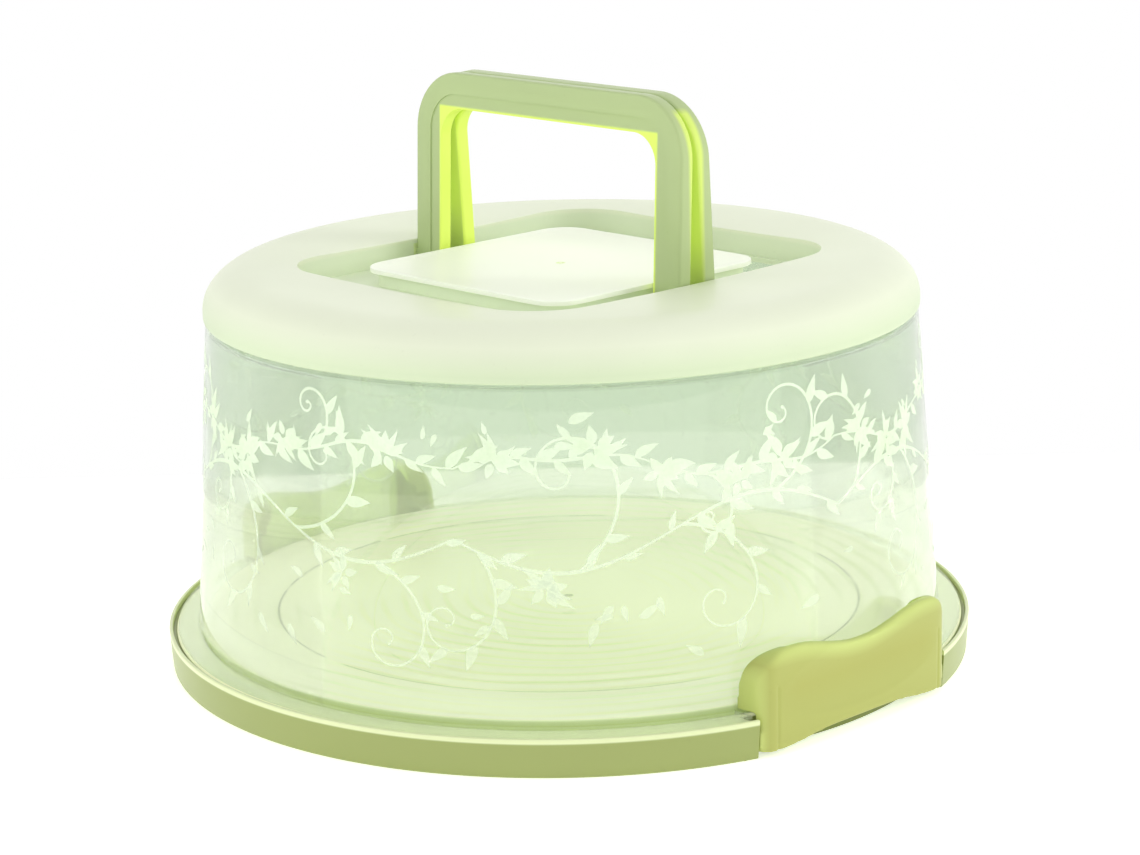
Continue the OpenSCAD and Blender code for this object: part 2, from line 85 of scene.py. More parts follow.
class TraySettings(bpy.types.PropertyGroup):
    """Sizes and colours of the tray"""
    rim_radius: length("Rim radius", "Outer radius of the rim", 149.94)
    foot_radius: length("Foot radius", "Outer radius of the skirt's foot", 149)
    rim_height: length("Rim height", "Height of the rim above the table", 14)
    skirt_wall: length("Skirt wall", "Wall of the skirt", 2.2)
    lip_radius: length("Lip radius", "Inner radius of the rim's lip", 148.5)
    groove_radius: length("Groove radius", "Inner radius of the drain groove", 147.1)
    groove_height: length("Groove height", "Height of the groove's bottom", 11.5)
    seat_height: length("Seat height", "Height of the dome's seat", 12.7)
    plate_radius: length("Plate radius", "Radius of the raised cake plate", 136.6)
    plate_height: length("Plate height", "Height of the cake plate", 16.4)
    plate_wall: length("Plate wall", "Wall of the plate and the seat", 2.4)
    ring_radius: length("Ring radius", "Outer radius of the ring mark and the foot ring", 109.5)
    mark_depth: length("Mark depth", "Depth of the ring mark", 0.14)
    mark_floor: length("Mark floor", "Width of the ring mark's floor", 0.6)
    mark_slope: length("Mark slope", "Width of each of the ring mark's sides", 0.3)
    rib_width: length("Rib width", "Width of the foot ring and the ribs", 1.8)
    rib_foot: length("Rib foot", "Height of the ribs' lower edge", 2)
    ribs: IntProperty(name="Ribs", description="Number of ribs under the plate", default=12)
    notch_half: length("Notch half width", "Half width of a clip's notch", 48.5)
    notch_radius: length("Notch radius", "Outer radius of the wall behind a notch", 140.4)
    notch_wall: length("Notch wall", "Thickness of the wall behind a notch", 2)
    block_depth: length("Socket block", "Thickness of the block that carries a hinge pin", 5)
    socket_half: length("Socket half span", "Half distance between the bottoms of two sockets", 50.55)
    socket_radius: length("Socket radius", "Radius of a hinge pin's socket", 1.35)
    skirt_colour: tint("Skirt", "Colour of the skirt", 156, 166, 97)
    # The top and plate colours are painted light: the tray's own lime painted paler where light from above
    # falls on it.
    top_painted_light_colour: tint("Groove", "Colour of the rim, the groove and the seat", 230, 238, 188)
    plate_painted_light_colour: tint("Plate", "Colour of the cake plate", 246, 245, 216)
    # The step colour is painted shade: a deeper lime in the plate's step and the groove inside the lip; the
    # moulding ripples share it.
    step_shade_and_ripple_colour: tint("Mark", "Colour of the steps and the ripples", 200, 218, 110)
    # The behind colour is painted shadow on the wall under each clip's arch; the ring groove and the gate
    # mark are darkened with it too.
    shadow_colour: tint("Behind", "Colour of the wall behind a clip and of the ring mark", 108, 120, 40)
    # The glow colour and level are painted light that the plate and the seat send out by themselves.
    glow_colour: tint("Glow", "Colour of the light that the pale plastic passes on", 255, 250, 224)
    glow: number("Glow level", "Light that comes through the thin plate from below", 0.23)


class DomeSettings(bpy.types.PropertyGroup):
    """Sizes and colours of the dome"""
    wall: length("Wall", "Wall of the dome", 1.6)
    seat_height: length("Seat height", "Height of the dome's foot", 12.73)
    flange_radius: length("Flange radius", "Outer radius of the foot flange", 146.5)
    flange_top: length("Flange top", "Height of the flange's upper face", 14.7)
    foot_radius: length("Foot radius", "Outer radius of the wall at its foot", 138.8)
    top_height: length("Shoulder height", "Height of the shoulder", 129.5)
    top_radius: length("Shoulder radius", "Outer radius at the shoulder", 130.53)
    collar_radius: length("Collar radius", "Outer radius of the collar", 127.53)
    collar_height: length("Collar height", "Height of the closed top", 133)
    boss_radius: length("Boss radius", "Radius of a screw boss", 3.8)
    boss_top: length("Boss top", "Height of the screw bosses", 135.78)
    boss_place: length("Boss place", "Distance of the bosses from both middle planes", 38)
    screw_radius: length("Screw radius", "Radius of a screw's bore", 1.35)
    bow_centre: length("Bow centre", "Place of the centre of the clip's bow along X", -454)
    trim_radius: length("Trim radius", "Radius that trims the flange behind a clip", 596.1)
    slot_inner: length("Slot start", "Distance from the middle to a clip end's slot", 35.5)
    notch_half: length("Slot end", "Distance from the middle to the slot's outer end", 48.5)
    slot_radius: length("Slot radius", "Radius down to which the slots are cut", 138.9)
    colour: tint("Clear", "Colour of the clear plastic", 250, 254, 250)
    rough: number("Roughness", "Roughness of the clear plastic", 0.03)
    # The haze level is a painted glow that every face of the clear plastic sends out.
    painted_haze_glow: number("Haze", "Light that the clear plastic scatters at each face", 0.04)
    index: number("Index", "Refractive index of the clear plastic", 1.46)
    direct: number("Direct", "Share of the light that passes the clear plastic straight on", 0.25)
    edge_direct: number("Direct at the edges", "That share at the flange and under the cap", 0.72)


class CapSettings(bpy.types.PropertyGroup):
    """Sizes and colours of the cap and its panel"""
    radius: length("Radius", "Outer radius of the cap", 131.3)
    bottom: length("Bottom", "Height of the cap's lower edge", 129.53)
    collar_radius: length("Collar radius", "Radius of the opening round the dome's collar", 127.83)
    shoulder_height: length("Shoulder height", "Height at which the shoulder begins", 132.5)
    shoulder_width: length("Shoulder width", "Width of the rounded shoulder", 19)
    shoulder_rise: length("Shoulder rise", "Height of the rounded shoulder", 15)
    sink: length("Sink", "How far the top sinks from the shoulder to the well", 1.5)
    wall: length("Wall", "Wall of the cap", 2.2)
    well_x: length("Well width", "Width of the handle well along X", 141)
    well_y: length("Well length", "Length of the handle well along Y", 158.6)
    well_radius: length("Well corner", "Corner radius of the well", 24)
    floor_height: length("Floor height", "Height of the well's floor", 137.6)
    floor_wall: length("Floor wall", "Wall of the well and its floor", 1.8)
    recess_x: length("Recess width", "Width of a finger recess", 86)
    recess_y: length("Recess length", "Length of a finger recess", 25)
    recess_radius: length("Recess corner", "Corner radius of a finger recess", 6)
    recess_place: length("Recess place", "Distance of the recesses' middles from the centre", 64.65)
    pivot_place: length("Pivot place", "Distance of a handle's pivot from the middle", 6.5)
    pivot_height: length("Pivot height", "Height of the handles' pivots", 140.9)
    pivot_radius: length("Pivot radius", "Radius of a pivot hole", 2.35)
    pivot_half: length("Pivot half span", "Half distance between the bottoms of two pivot holes", 73.35)
    pad: length("Pivot pad", "Height of the pad round the pivot holes", 8.6)
    panel_side: length("Panel side", "Side of the square panel", 106)
    panel_radius: length("Panel corner", "Corner radius of the panel", 12)
    panel_top: length("Panel top", "Height of the panel's top", 144.4)
    panel_wall: length("Panel wall", "Thickness of the panel", 1.6)
    overhang: length("Overhang", "How far the panel overhangs its skirt", 3)
    lip: length("Panel lip", "Width of the lip round the panel's top", 3)
    lip_drop: length("Lip drop", "How far the panel's middle lies below its lip", 0.22)
    tab_thick: length("Tab", "Half thickness of the panel's two tabs", 0.85)
    tab_half: length("Tab length", "Half length of the panel's two tabs", 4.85)
    tab_gap: length("Tab gap", "Room round the tabs in their slots", 0.3)
    gate_radius: length("Gate mark", "Radius of the gate mark in the panel's middle", 1.3)
    colour: tint("Pale", "Colour of the cap", 238, 244, 219)
    # The shade colour is painted shade on the lower part of the cap's side.
    shade: tint("Shade", "Colour of the cap's lower edge", 204, 218, 184)
    # The well colour is painted shade inside the well and on the panel's skirt under its overhang.
    well_shade_colour: tint("Well", "Colour of the well's wall", 230, 240, 212)
    # The glow colour is a painted glow on the pads round the pivots; the panel's gate mark gets it as well.
    glow: tint("Glow", "Colour of the gate mark and of the pads round the pivots", 226, 240, 172)
    panel_colour: tint("Panel", "Colour of the panel", 250, 254, 238)
    # The panel glow is painted light that the whole panel sends out.
    panel_painted_glow: number("Panel glow", "Light that the panel passes on", 0.06)


class HandleSettings(bpy.types.PropertyGroup):
    """Sizes and colours of the two handles"""
    half_width: length("Half width", "Half of a handle's outer width", 69.5)
    reach: length("Reach", "Height of a handle above its pivots", 70)
    thickness: length("Thickness", "Thickness of a handle's bar", 6)
    bar: length("Bar", "Width of a handle's bar", 13.5)
    corner: length("Outer corner", "Outer corner radius", 22)
    inner_corner: length("Inner corner", "Inner corner radius", 11)
    band: length("Band", "Width of the raised band along the outer edge", 8)
    step: length("Step", "Depth of the step inside the band", 0.6)
    soft: length("Soft edge", "Radius of the bar's rounded edges", 1.1)
    pin_radius: length("Pin radius", "Radius of a handle's pins", 2.3)
    pin_end: length("Pin end", "Distance of the pins' ends from the middle", 73.08)
    pivot_place: length("Pivot place", "Distance of the pivot from the middle", 6.5)
    pivot_height: length("Pivot height", "Height of the pivot", 140.9)
    lean: FloatProperty(name="Lean", description="Angle by which a handle leans to the other",
                        default=math.radians(2.743), unit="ROTATION")
    colour: tint("Lime", "Colour of the handles", 182, 200, 142)
    # The glow colour and level are painted light on the inner faces, where the bars catch each other's
    # light.
    glow: tint("Glow", "Colour of the handles' inner faces", 222, 244, 104)
    glow_level: number("Glow level", "Light that the inner faces pass on", 0.12)


class ClipSettings(bpy.types.PropertyGroup):
    """Sizes and colours of the two clips"""
    half_width: length("Half width", "Half of a clip's width", 48)
    height: length("Height", "Height of a clip's lobes above the table", 37.5)
    dip: length("Dip", "Drop of the top edge between the lobes", 5.5)
    tab_height: length("Tab height", "Height of the lower edge at the ends", 2)
    low_height: length("Arch height", "Height of the lower edge in the middle", 4.5)
    tab: length("Tab", "Width of the level ends of the lower edge", 6)
    ramp: length("Ramp", "Width of the slope of the lower edge", 30)
    corner: length("Corner", "Radius of the upper corners in the front view", 12)
    side_corner: length("Side corner", "Radius of the upright corners in plan", 6)
    shoulder: length("Shoulder", "Radius of the roof that falls to the dome", 14)
    shoulder_x: length("Shoulder place", "Distance of the shoulder's centre from the middle", 145)
    front: length("Front", "Distance of the front from the middle", 146)
    bow_centre: length("Bow centre", "Place of the centre of the bow along X", -454)
    bow_radius: length("Bow radius", "Radius of the front's bow", 599.9)
    wall: length("Wall", "Wall of the front", 3)
    cheek: length("Cheek", "Thickness of the end cheeks", 2.5)
    cheek_height: length("Cheek height", "Height of the cheek's lower edge above the flange", 15.3)
    cheek_foot: length("Cheek foot", "Distance of the cheek's foot from the middle", 138.95)
    bore: length("Bore", "Radius of the opening for the dome", 139.4)
    grip_radius: length("Grip radius", "Radius of the finger recess", 60)
    grip_depth: length("Grip depth", "Depth of the finger recess", 1.4)
    grip_height: length("Grip height", "Height of the finger recess", 21)
    grip_half: length("Grip half width", "Half width of the finger recess", 42)
    crease: length("Crease", "Radius of the upright crease near each end", 0.7)
    crease_height: length("Crease height", "Height of the middle of a crease", 8)
    crease_span: length("Crease length", "Length of a crease", 34)
    rib_half: length("Rib half", "Half length of the locking rib", 22)
    rib_reach: length("Rib reach", "Reach of the locking rib", 0.8)
    rib_height: length("Rib height", "Height of the locking rib", 2.4)
    hinge_x: length("Hinge place", "Distance of the hinge from the middle", 137.95)
    hinge_height: length("Hinge height", "Height of the hinge", 6.5)
    ear_radius: length("Ear radius", "Radius of the ear round the hinge", 2.7)
    ear_reach: length("Ear reach", "Distance from the hinge out to the cheek", 4)
    pin_radius: length("Pin radius", "Radius of a hinge pin", 1.3)
    pin_end: length("Pin end", "Distance of the pins' ends from the middle", 50.28)
    grid: length("Grid", "Size of the mesh that rounds the edges", 0.5)
    smooth: IntProperty(name="Smooth", description="How often the finished mesh is smoothed", default=7)
    coarse_grid: length("Coarse grid", "Size of the mesh that rounds the outer shape", 0.8)
    round_off: IntProperty(name="Round off", description="How often the outer shape is smoothed",
                           default=22)
    colour: tint("Lime", "Colour of the clips' fronts", 176, 180, 96)
    # The side colour is painted light on the roof, the ends and the inner face; the glow level is the inner
    # face's painted glow.
    painted_side_light_colour: tint("Side", "Colour of the clips' ends and inner faces", 208, 224, 132)
    # The grip colour is painted shade across the finger recess.
    grip_shade_colour: tint("Grip", "Colour of the finger recess", 172, 172, 84)
    glow: number("Glow level", "Light that comes through the clip's wall", 0.16)


class PrintSettings(bpy.types.PropertyGroup):
    """Sizes and colour of the frosted print"""
    repeats: IntProperty(name="Repeats", description="How often the scroll repeats round the dome",
                         default=6)
    low: length("Low", "Height of the scroll's lowest stem", 58)
    high: length("High", "Height of the scroll's highest stem", 112)
    lowest: length("Lowest", "Height below which nothing is printed", 30)
    highest: length("Highest", "Height above which nothing is printed", 124)
    lift: length("Lift", "How far the print lies off the dome", 0.03)
    thickness: length("Thickness", "Thickness of the print", 0.02)
    seed: IntProperty(name="Seed", description="Seed of the loose leaves", default=11)
    colour: tint("Frost", "Colour of the print", 222, 236, 206)
    cover: number("Cover", "How much the print covers", 0.48)
    # The glow level is a painted glow that the ink sends out, so the print stays pale from both sides.
    glow: number("Glow level", "Light that the ink passes on", 0.14)


class StudioSettings(bpy.types.PropertyGroup):
    """Camera, lamps and backdrop"""
    turn: FloatProperty(name="Turn", description="Direction of the camera round the object",
                        default=math.radians(46.2), unit="ROTATION")
    tilt: FloatProperty(name="Tilt", description="Height of the camera above the horizon",
                        default=math.radians(14.378), unit="ROTATION")
    roll: FloatProperty(name="Roll", description="Roll of the camera", default=math.radians(1.39),
                        unit="ROTATION")
    distance: length("Distance", "Distance of the camera from its target", 1112.53)
    target_right: length("Target right", "Place of the target to the right of the axis", 2.03)
    target_height: length("Target height", "Height of the target", 81.65)
    lens: number("Lens", "Focal length in millimetres", 94.35)
    horizon: length("Horizon", "Distance from the axis back to the end of the table", 246)
    table_half: length("Table", "Half width of the table", 2500)
    ambient: number("Ambient", "Level of the light from all round", 0.46)
    key: number("Key", "Power of the main lamp in watts", 3.0)
    top: number("Top", "Power of the lamp above in watts", 3.4)
    side: number("Side", "Power of each low lamp in watts", 4.8)
    behind: tint("Behind", "Colour seen through the dome behind the table", 190, 206, 181)
    table: tint("Table", "Colour of the table", 246, 249, 240)
    table_through: tint("Table through", "Colour of the table seen through the dome", 208, 210, 198)
    glow: number("Table glow", "Light that the table sends out by itself", 0.58)


# ---- modelling ----

def quarter(steps):
    """The angles of a quarter turn in equal steps."""
    return [math.pi / 2 * k / steps for k in range(steps + 1)]


def activate(obj):
    """Makes obj the only selected object, and the active one."""
    bpy.ops.object.select_all(action="DESELECT")
    obj.select_set(True)
    bpy.context.view_layer.objects.active = obj


def edit(obj, pick="ALL"):
    """Opens obj in edit mode with everything or nothing selected, and returns its mesh."""
    activate(obj)
    bpy.ops.object.mode_set(mode="EDIT")
    bpy.ops.mesh.select_mode(type="VERT")
    bpy.ops.mesh.select_all(action="SELECT" if pick == "ALL" else "DESELECT")
    return bmesh.from_edit_mesh(obj.data)


def leave():
    """Closes edit mode."""
    bpy.ops.object.mode_set(mode="OBJECT")


def pick_edges(obj, test):
    """Selects the edges of obj that pass the test."""
    mesh = edit(obj, "NONE")
    bpy.ops.mesh.select_mode(type="EDGE")
    for edge in mesh.edges:
        edge.select_set(test(edge))
    bmesh.update_edit_mesh(obj.data)


def pick_faces(obj, test):
    """Selects the faces of obj that pass the test."""
    mesh = edit(obj, "NONE")
    bpy.ops.mesh.select_mode(type="FACE")
    for face in mesh.faces:
        face.select_set(test(face))
    bmesh.update_edit_mesh(obj.data)


def clean(obj, close=1e-6):
    """Merges doubled points and turns the normals outward."""
    edit(obj)
    bpy.ops.mesh.remove_doubles(threshold=close)
    bpy.ops.mesh.normals_make_consistent(inside=False)
    leave()
    return obj


def fillet(corners, steps=4, closed=False):
    """The path through corners (u, v, radius) with each corner rounded by its radius."""
    path = []
    for i, (u, v, radius) in enumerate(corners):
        if radius <= 0 or (not closed and i in (0, len(corners) - 1)):
            path.append((u, v))
            continue
        here = Vector((u, v))
        before = Vector(corners[i - 1][:2]) - here
        after = Vector(corners[(i + 1) % len(corners)][:2]) - here
        half = before.angle(after) / 2
        if half > math.radians(89.5):
            path.append((u, v))
            continue
        reach = min(radius / math.tan(half), 0.48 * before.length, 0.48 * after.length)
        radius = reach * math.tan(half)
        centre = here + (before.normalized() + after.normalized()).normalized() * radius / math.sin(half)
        first = here + before.normalized() * reach - centre
        last = here + after.normalized() * reach - centre
        path += [tuple(centre + radius * first.slerp(last, k / steps)) for k in range(steps + 1)]
    return path


def extrude(value):
    """Extrudes what is selected by a distance in each axis."""
    bpy.ops.mesh.extrude_region_move(TRANSFORM_OT_translate={"value": value})


def chain(name, points):
    """A chain of edges through the points, drawn by extruding one vertex. It stays in edit mode."""
    bpy.ops.mesh.primitive_plane_add(size=MM, location=(0, 0, 0))
    obj = bpy.context.object
    obj.name = obj.data.name = name
    edit(obj)
    bpy.ops.mesh.merge(type="CENTER")
    bpy.ops.transform.translate(value=points[0])
    for here, there in zip(points, points[1:]):
        extrude(Vector(there) - Vector(here))
    bpy.ops.mesh.select_all(action="SELECT")
    return obj


def lathe(name, profile):
    """A body turned about Z from a profile of (radius, height)."""
    obj = chain(name, [(r, 0, z) for r, z in profile])
    bpy.ops.mesh.spin(steps=ROUND, angle=math.tau, center=(0, 0, 0), axis=(0, 0, 1), use_auto_merge=True)
    leave()
    return clean(obj)


def prism(name, outline, axis, low, high):
    """A prism along an axis, from low to high, over a closed outline in the other two axes' order."""
    along = "XYZ".index(axis)
    points = [(*point[:along], low, *point[along:]) for point in outline]
    obj = chain(name, points + points[:1])
    bpy.ops.mesh.remove_doubles(threshold=1e-7)
    bpy.ops.mesh.edge_face_add()
    bpy.ops.mesh.select_all(action="SELECT")
    extrude([high - low if i == along else 0 for i in range(3)])
    leave()
    return clean(obj)


def block(name, low, high, radius=0.0, axis="Z", segments=10, ends=(True, True)):
    """A box between two corners. Its edges along the axis are rounded at the ends that are on: the low and
    the high end of Z, or of Y where the axis is Z."""
    low, high = Vector(low), Vector(high)
    bpy.ops.mesh.primitive_cube_add(size=1, location=(low + high) / 2)
    obj = bpy.context.object
    obj.name = obj.data.name = name
    obj.scale = high - low
    settle(obj)
    if radius > 0:
        along = "XYZ".index(axis)
        across = 2 if along != 2 else 1
        middle = (low[across] + high[across]) / 2

        def rounded(edge):
            one, two = (v.co for v in edge.verts)
            level = abs(one[along] - two[along]) < 1e-7
            return not level and ends[1 if one[across] > middle else 0]

        pick_edges(obj, rounded)
        bpy.ops.mesh.bevel(offset=radius, segments=segments, profile=0.5, affect="EDGES")
        leave()
    return obj


def rod(name, radius, middle, axis, extent, points=48):
    """A cylinder through middle, along an axis."""
    turn = {"X": (0, math.pi / 2, 0), "Y": (math.pi / 2, 0, 0), "Z": (0, 0, 0)}[axis]
    bpy.ops.mesh.primitive_cylinder_add(vertices=points, radius=radius, depth=extent, location=middle,
                                        rotation=turn)
    obj = bpy.context.object
    obj.name = obj.data.name = name
    return settle(obj)


def settle(obj):
    """Puts the place, turn and size of obj into its mesh."""
    activate(obj)
    bpy.ops.object.transform_apply(location=True, rotation=True, scale=True)
    return obj


def moved(obj, place=(0, 0, 0), turn=(0, 0, 0)):
    """Turns obj about the origin, then moves it, and puts both into its mesh."""
    obj.rotation_euler = Euler(turn)
    obj.location = place
    return settle(obj)


def copied(obj, name, turn):
    """A copy of obj with its own mesh, turned about the origin."""
    activate(obj)
    bpy.ops.object.duplicate()
    twin = bpy.context.object
    twin.name = twin.data.name = name
    return moved(twin, turn=turn)


def drop(obj):
    """Removes obj and its mesh."""
    bpy.data.meshes.remove(obj.data)


def carve(obj, tool, operation="DIFFERENCE"):
    """Applies a boolean of obj with a tool, and removes the tool."""
    activate(obj)
    cut = obj.modifiers.new("Carve", "BOOLEAN")
    cut.object, cut.operation, cut.solver = tool, operation, "MANIFOLD"
    bpy.ops.object.modifier_apply(modifier=cut.name)
    drop(tool)
    return obj


def both_sides(obj, tool, operation="DIFFERENCE"):
    """Carves obj with a tool and with the tool turned half round."""
    twin = copied(tool, "twin", turn=(0, 0, math.pi))
    carve(obj, tool, operation)
    return carve(obj, twin, operation)


def joined(objs, name):
    """Several separate objects as one."""
    bpy.ops.object.select_all(action="DESELECT")
    for obj in objs:
        obj.select_set(True)
    bpy.context.view_layer.objects.active = objs[0]
    bpy.ops.object.join()
    obj = bpy.context.object
    obj.name = obj.data.name = name
    return obj


def soften(obj, width, segments=3, angle=35):
    """Rounds the sharp edges of obj."""
    activate(obj)
    edge = obj.modifiers.new("Soften", "BEVEL")
    edge.width, edge.segments, edge.limit_method = width, segments, "ANGLE"
    edge.angle_limit = math.radians(angle)
    bpy.ops.object.modifier_apply(modifier=edge.name)
    return obj


def shade(obj, angle=32):
    """Smooth shading up to an angle between faces."""
    activate(obj)
    bpy.ops.object.shade_smooth_by_angle(angle=math.radians(angle))
    return obj


def hand_over(obj, name, material, body, slot, *nodes):
    """Names a finished piece, gives it its finish, and lets it ride on its body in place of its nodes."""
    obj.name = obj.data.name = name
    obj.data.materials.clear()
    obj.data.materials.append(material)
    if nodes:
        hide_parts(*nodes)
    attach(obj, body)
    return obj


# ---- finishes ----

class Sock:
    """A socket of a node tree that adds Math nodes when it is used in an expression."""

    def __init__(self, nodes, socket):
        self.nodes, self.socket = nodes, socket

    def do(self, operation, *operands, clamp=False):
        """The result of a Math node over the operands."""
        return self.nodes.node("ShaderNodeMath", {"operation": operation, "use_clamp": clamp},
                               dict(enumerate(operands)))

    def __add__(self, other):
        return self.do("ADD", self, other)

    def __radd__(self, other):
        return self.do("ADD", other, self)

    def __sub__(self, other):
        return self.do("SUBTRACT", self, other)

    def __rsub__(self, other):
        return self.do("SUBTRACT", other, self)

    def __mul__(self, other):
        return self.do("MULTIPLY", self, other)

    def __rmul__(self, other):
        return self.do("MULTIPLY", other, self)

    def __truediv__(self, other):
        return self.do("DIVIDE", self, other)

    def __rtruediv__(self, other):
        return self.do("DIVIDE", other, self)

    def __pow__(self, other):
        return self.do("POWER", self, other)

    def __abs__(self):
        return self.do("ABSOLUTE", self)

    def over(self, edge, soft):
        """0 below the edge and 1 above it, with a soft change of that width."""
        return self.do("ADD", (self - edge) / soft, 0.5, clamp=True)

    def under(self, edge, soft):
        """1 below the edge and 0 above it."""
        return 1.0 - self.over(edge, soft)

    def near(self, middle, half, soft):
        """1 within half of the middle, 0 further off."""
        return abs(self - middle).under(half, soft)

    def wave(self):
        """The sine."""
        return self.do("SINE", self)

    def most(self, other):
        """The larger of the two."""
        return self.do("MAXIMUM", self, other)


class Nodes:
    """A node tree that expressions add to."""

    def __init__(self, tree):
        self.tree = tree

    def node(self, kind, settings=None, inputs=None, output=0):
        """Adds a node with its settings and inputs, and returns one of its outputs."""
        made = self.tree.nodes.new(kind)
        for key, value in (settings or {}).items():
            setattr(made, key, value)
        for key, value in (inputs or {}).items():
            self.feed(made.inputs[key], value)
        return Sock(self, made.outputs[output])

    def feed(self, slot, value):
        """Links a socket to an input, or sets the input's own value."""
        if isinstance(value, Sock):
            self.tree.links.new(value.socket, slot)
        else:
            slot.default_value = value

    def mix(self, factor, one, two):
        """A colour between two."""
        colour = [value if isinstance(value, Sock) else (*value, 1.0) for value in (one, two)]
        return self.node("ShaderNodeMix", {"data_type": "RGBA"}, {0: factor, 6: colour[0], 7: colour[1]},
                         output=2)


class Finish(Nodes):
    """A material, with the place of a point on the piece in millimetres."""

    def __init__(self, name):
        self.material = bpy.data.materials.new(name)
        self.material.use_nodes = True
        super().__init__(self.material.node_tree)
        self.shader = self.tree.nodes["Principled BSDF"]
        self.output = self.tree.nodes["Material Output"]
        self.place = self.node("ShaderNodeTexCoord", output="Object")
        split = self.tree.nodes.new("ShaderNodeSeparateXYZ")
        self.tree.links.new(self.place.socket, split.inputs[0])
        self.x, self.y, self.z = (Sock(self, out) / MM for out in split.outputs)
        self.radius = (self.x * self.x + self.y * self.y) ** 0.5

    def noise(self, scale, detail=2.0, rough=0.5):
        """Noise with that many cells to a metre."""
        return self.node("ShaderNodeTexNoise", {"noise_dimensions": "3D"},
                         {"Vector": self.place, "Scale": scale, "Detail": detail, "Roughness": rough})

    def bump(self, height, strength, distance=0.05 * MM):
        """A normal that follows a height."""
        return self.node("ShaderNodeBump", None,
                         {"Height": height, "Strength": strength, "Distance": distance})

    def set(self, **inputs):
        """Feeds the main shader's inputs; a name's underscores stand for spaces."""
        for key, value in inputs.items():
            if isinstance(value, (tuple, list)) and len(value) == 3:
                value = (*value, 1.0)
            self.feed(self.shader.inputs[key.replace("_", " ")], value)
        return self.material


BLACK = (0.0, 0.0, 0.0)


def moulded(finish, colour, rough, coat, relief=None):
    """Satin moulded plastic: cloudy colour, uneven gloss, fine grain and a few specks."""
    cloud, grain = finish.noise(18, 3), finish.noise(2200, 2)
    speck = finish.noise(520, 1).over(0.745, 0.03)
    darker = finish.node("ShaderNodeVectorMath", {"operation": "SCALE"}, {0: colour, "Scale": 0.93})
    toned = finish.mix(cloud.over(0.5, 0.5) * 0.55 + speck * 0.35, colour, darker)
    height = grain * 0.35 + finish.noise(160, 2) * 0.65
    if relief is not None:
        height = height + relief
    return finish.set(Base_Color=toned, Roughness=rough + cloud * 0.1 + grain * 0.06, Coat_Weight=coat,
                      Coat_Roughness=0.12, IOR=1.46, Normal=finish.bump(height, 0.35))


def tray_finish(s):
    """Lime plastic with its top and plate painted paler as painted light, painted shade in the step, the
    groove and behind the clips, ring marks, faint ripples from moulding, and a painted glow.
    """
    finish = Finish("tray_lime")
    plate_r, lip_r, seat_z = (size / MM for size in (s.plate_radius, s.lip_radius, s.seat_height))
    wide = finish.noise(9, 2)
    top = finish.z.over(seat_z - 0.5, 0.6)
    plate = finish.radius.under(plate_r, 0.6) * finish.z.over(s.plate_height / MM - 1.2, 1.6)
    # Painted light: the top and the plate get paler colours than the skirt, as if lit from above.
    colour = finish.mix(top, s.skirt_colour, s.top_painted_light_colour)
    colour = finish.mix(plate * (0.86 + wide * 0.2), colour, s.plate_painted_light_colour)
    ripple = (finish.radius * 0.8 + wide * 16.0).wave() * wide.over(0.5, 0.24)
    angle = finish.y.do("ARCTAN2", finish.y, finish.x)
    broken = finish.node("ShaderNodeTexNoise", {"noise_dimensions": "1D"},
                         {"W": angle, "Scale": 2.6, "Detail": 1.0})
    ring = finish.radius.near(s.ring_radius / MM - 0.5, 0.4, 0.3) * plate * broken.over(0.42, 0.05)
    gate = finish.radius.under(1.9, 0.5) * plate
    # Painted shade: a deeper lime in the plate's step and the groove inside the lip; the moulding ripples
    # share the colour.
    step = finish.radius.near(plate_r + 0.7, 0.5, 0.4) * finish.z.over(seat_z - 0.3, 0.4)
    lip = finish.radius.near(lip_r - 0.5, 0.6, 0.4) * top
    mark = (step * 0.8).most(lip * 0.7).most(ripple.over(0.6, 0.8) * plate * 0.4)
    colour = finish.mix(mark, colour, s.step_shade_and_ripple_colour)
    # Painted shadow on the wall behind each clip; the ring groove and the gate mark are darkened with the
    # same colour.
    clip_wall_shade = (finish.radius.near((s.notch_radius - s.notch_wall / 2) / MM, 1.8, 0.6)
              * finish.z.under(s.groove_height / MM - 1.1, 0.6))
    colour = finish.mix((clip_wall_shade * 0.85).most((ring + gate) * 0.6), colour, s.shadow_colour)
    # Painted glow on the seat and the plate, left out at the marks.
    seat = finish.radius.over(plate_r + 1.6, 0.6) * finish.radius.under(lip_r - 0.1, 0.3) * top
    lit = finish.mix((seat * 1.4 + plate * (1.0 - ring - gate)) * (1.0 - mark), BLACK,
                     s.glow_colour)
    finish.set(Emission_Color=lit, Emission_Strength=s.glow)
    return moulded(finish, colour, rough=0.3, coat=0.25, relief=ripple * plate * 1.2)


def clear_finish(s):
    """Clear plastic that lets lamps through, with a few faint smears and a faint painted glow on every
    face.
    """
    finish = Finish("dome_clear")
    smear = finish.noise(26, 4, 0.6)
    # Painted glow: a faint green emission on every face.
    finish.set(Base_Color=tuple(s.colour), Roughness=s.rough + smear.over(0.62, 0.2) * 0.05,
               IOR=s.index, Transmission_Weight=1.0, Emission_Color=(0.92, 1.0, 0.76),
               Emission_Strength=s.painted_haze_glow,
               Normal=finish.bump(finish.noise(40, 1), 0.12, 0.2 * MM))
    shadow = finish.node("ShaderNodeLightPath", output="Is Shadow Ray")
    open_way = finish.node("ShaderNodeBsdfTransparent", None, {"Color": (0.95, 0.97, 0.95, 1)})
    foot, top = s.flange_top / MM + 1.7, s.top_height / MM - 2.7
    edge = finish.z.under(foot, 1.2).most(finish.z.over(top, 1.2)) * s.edge_direct
    seen = finish.node("ShaderNodeMixShader", None,
                       {0: shadow.most(edge).most(s.direct),
                        1: Sock(finish, finish.shader.outputs[0]), 2: open_way})
    finish.feed(finish.output.inputs[0], seen)
    return finish.material


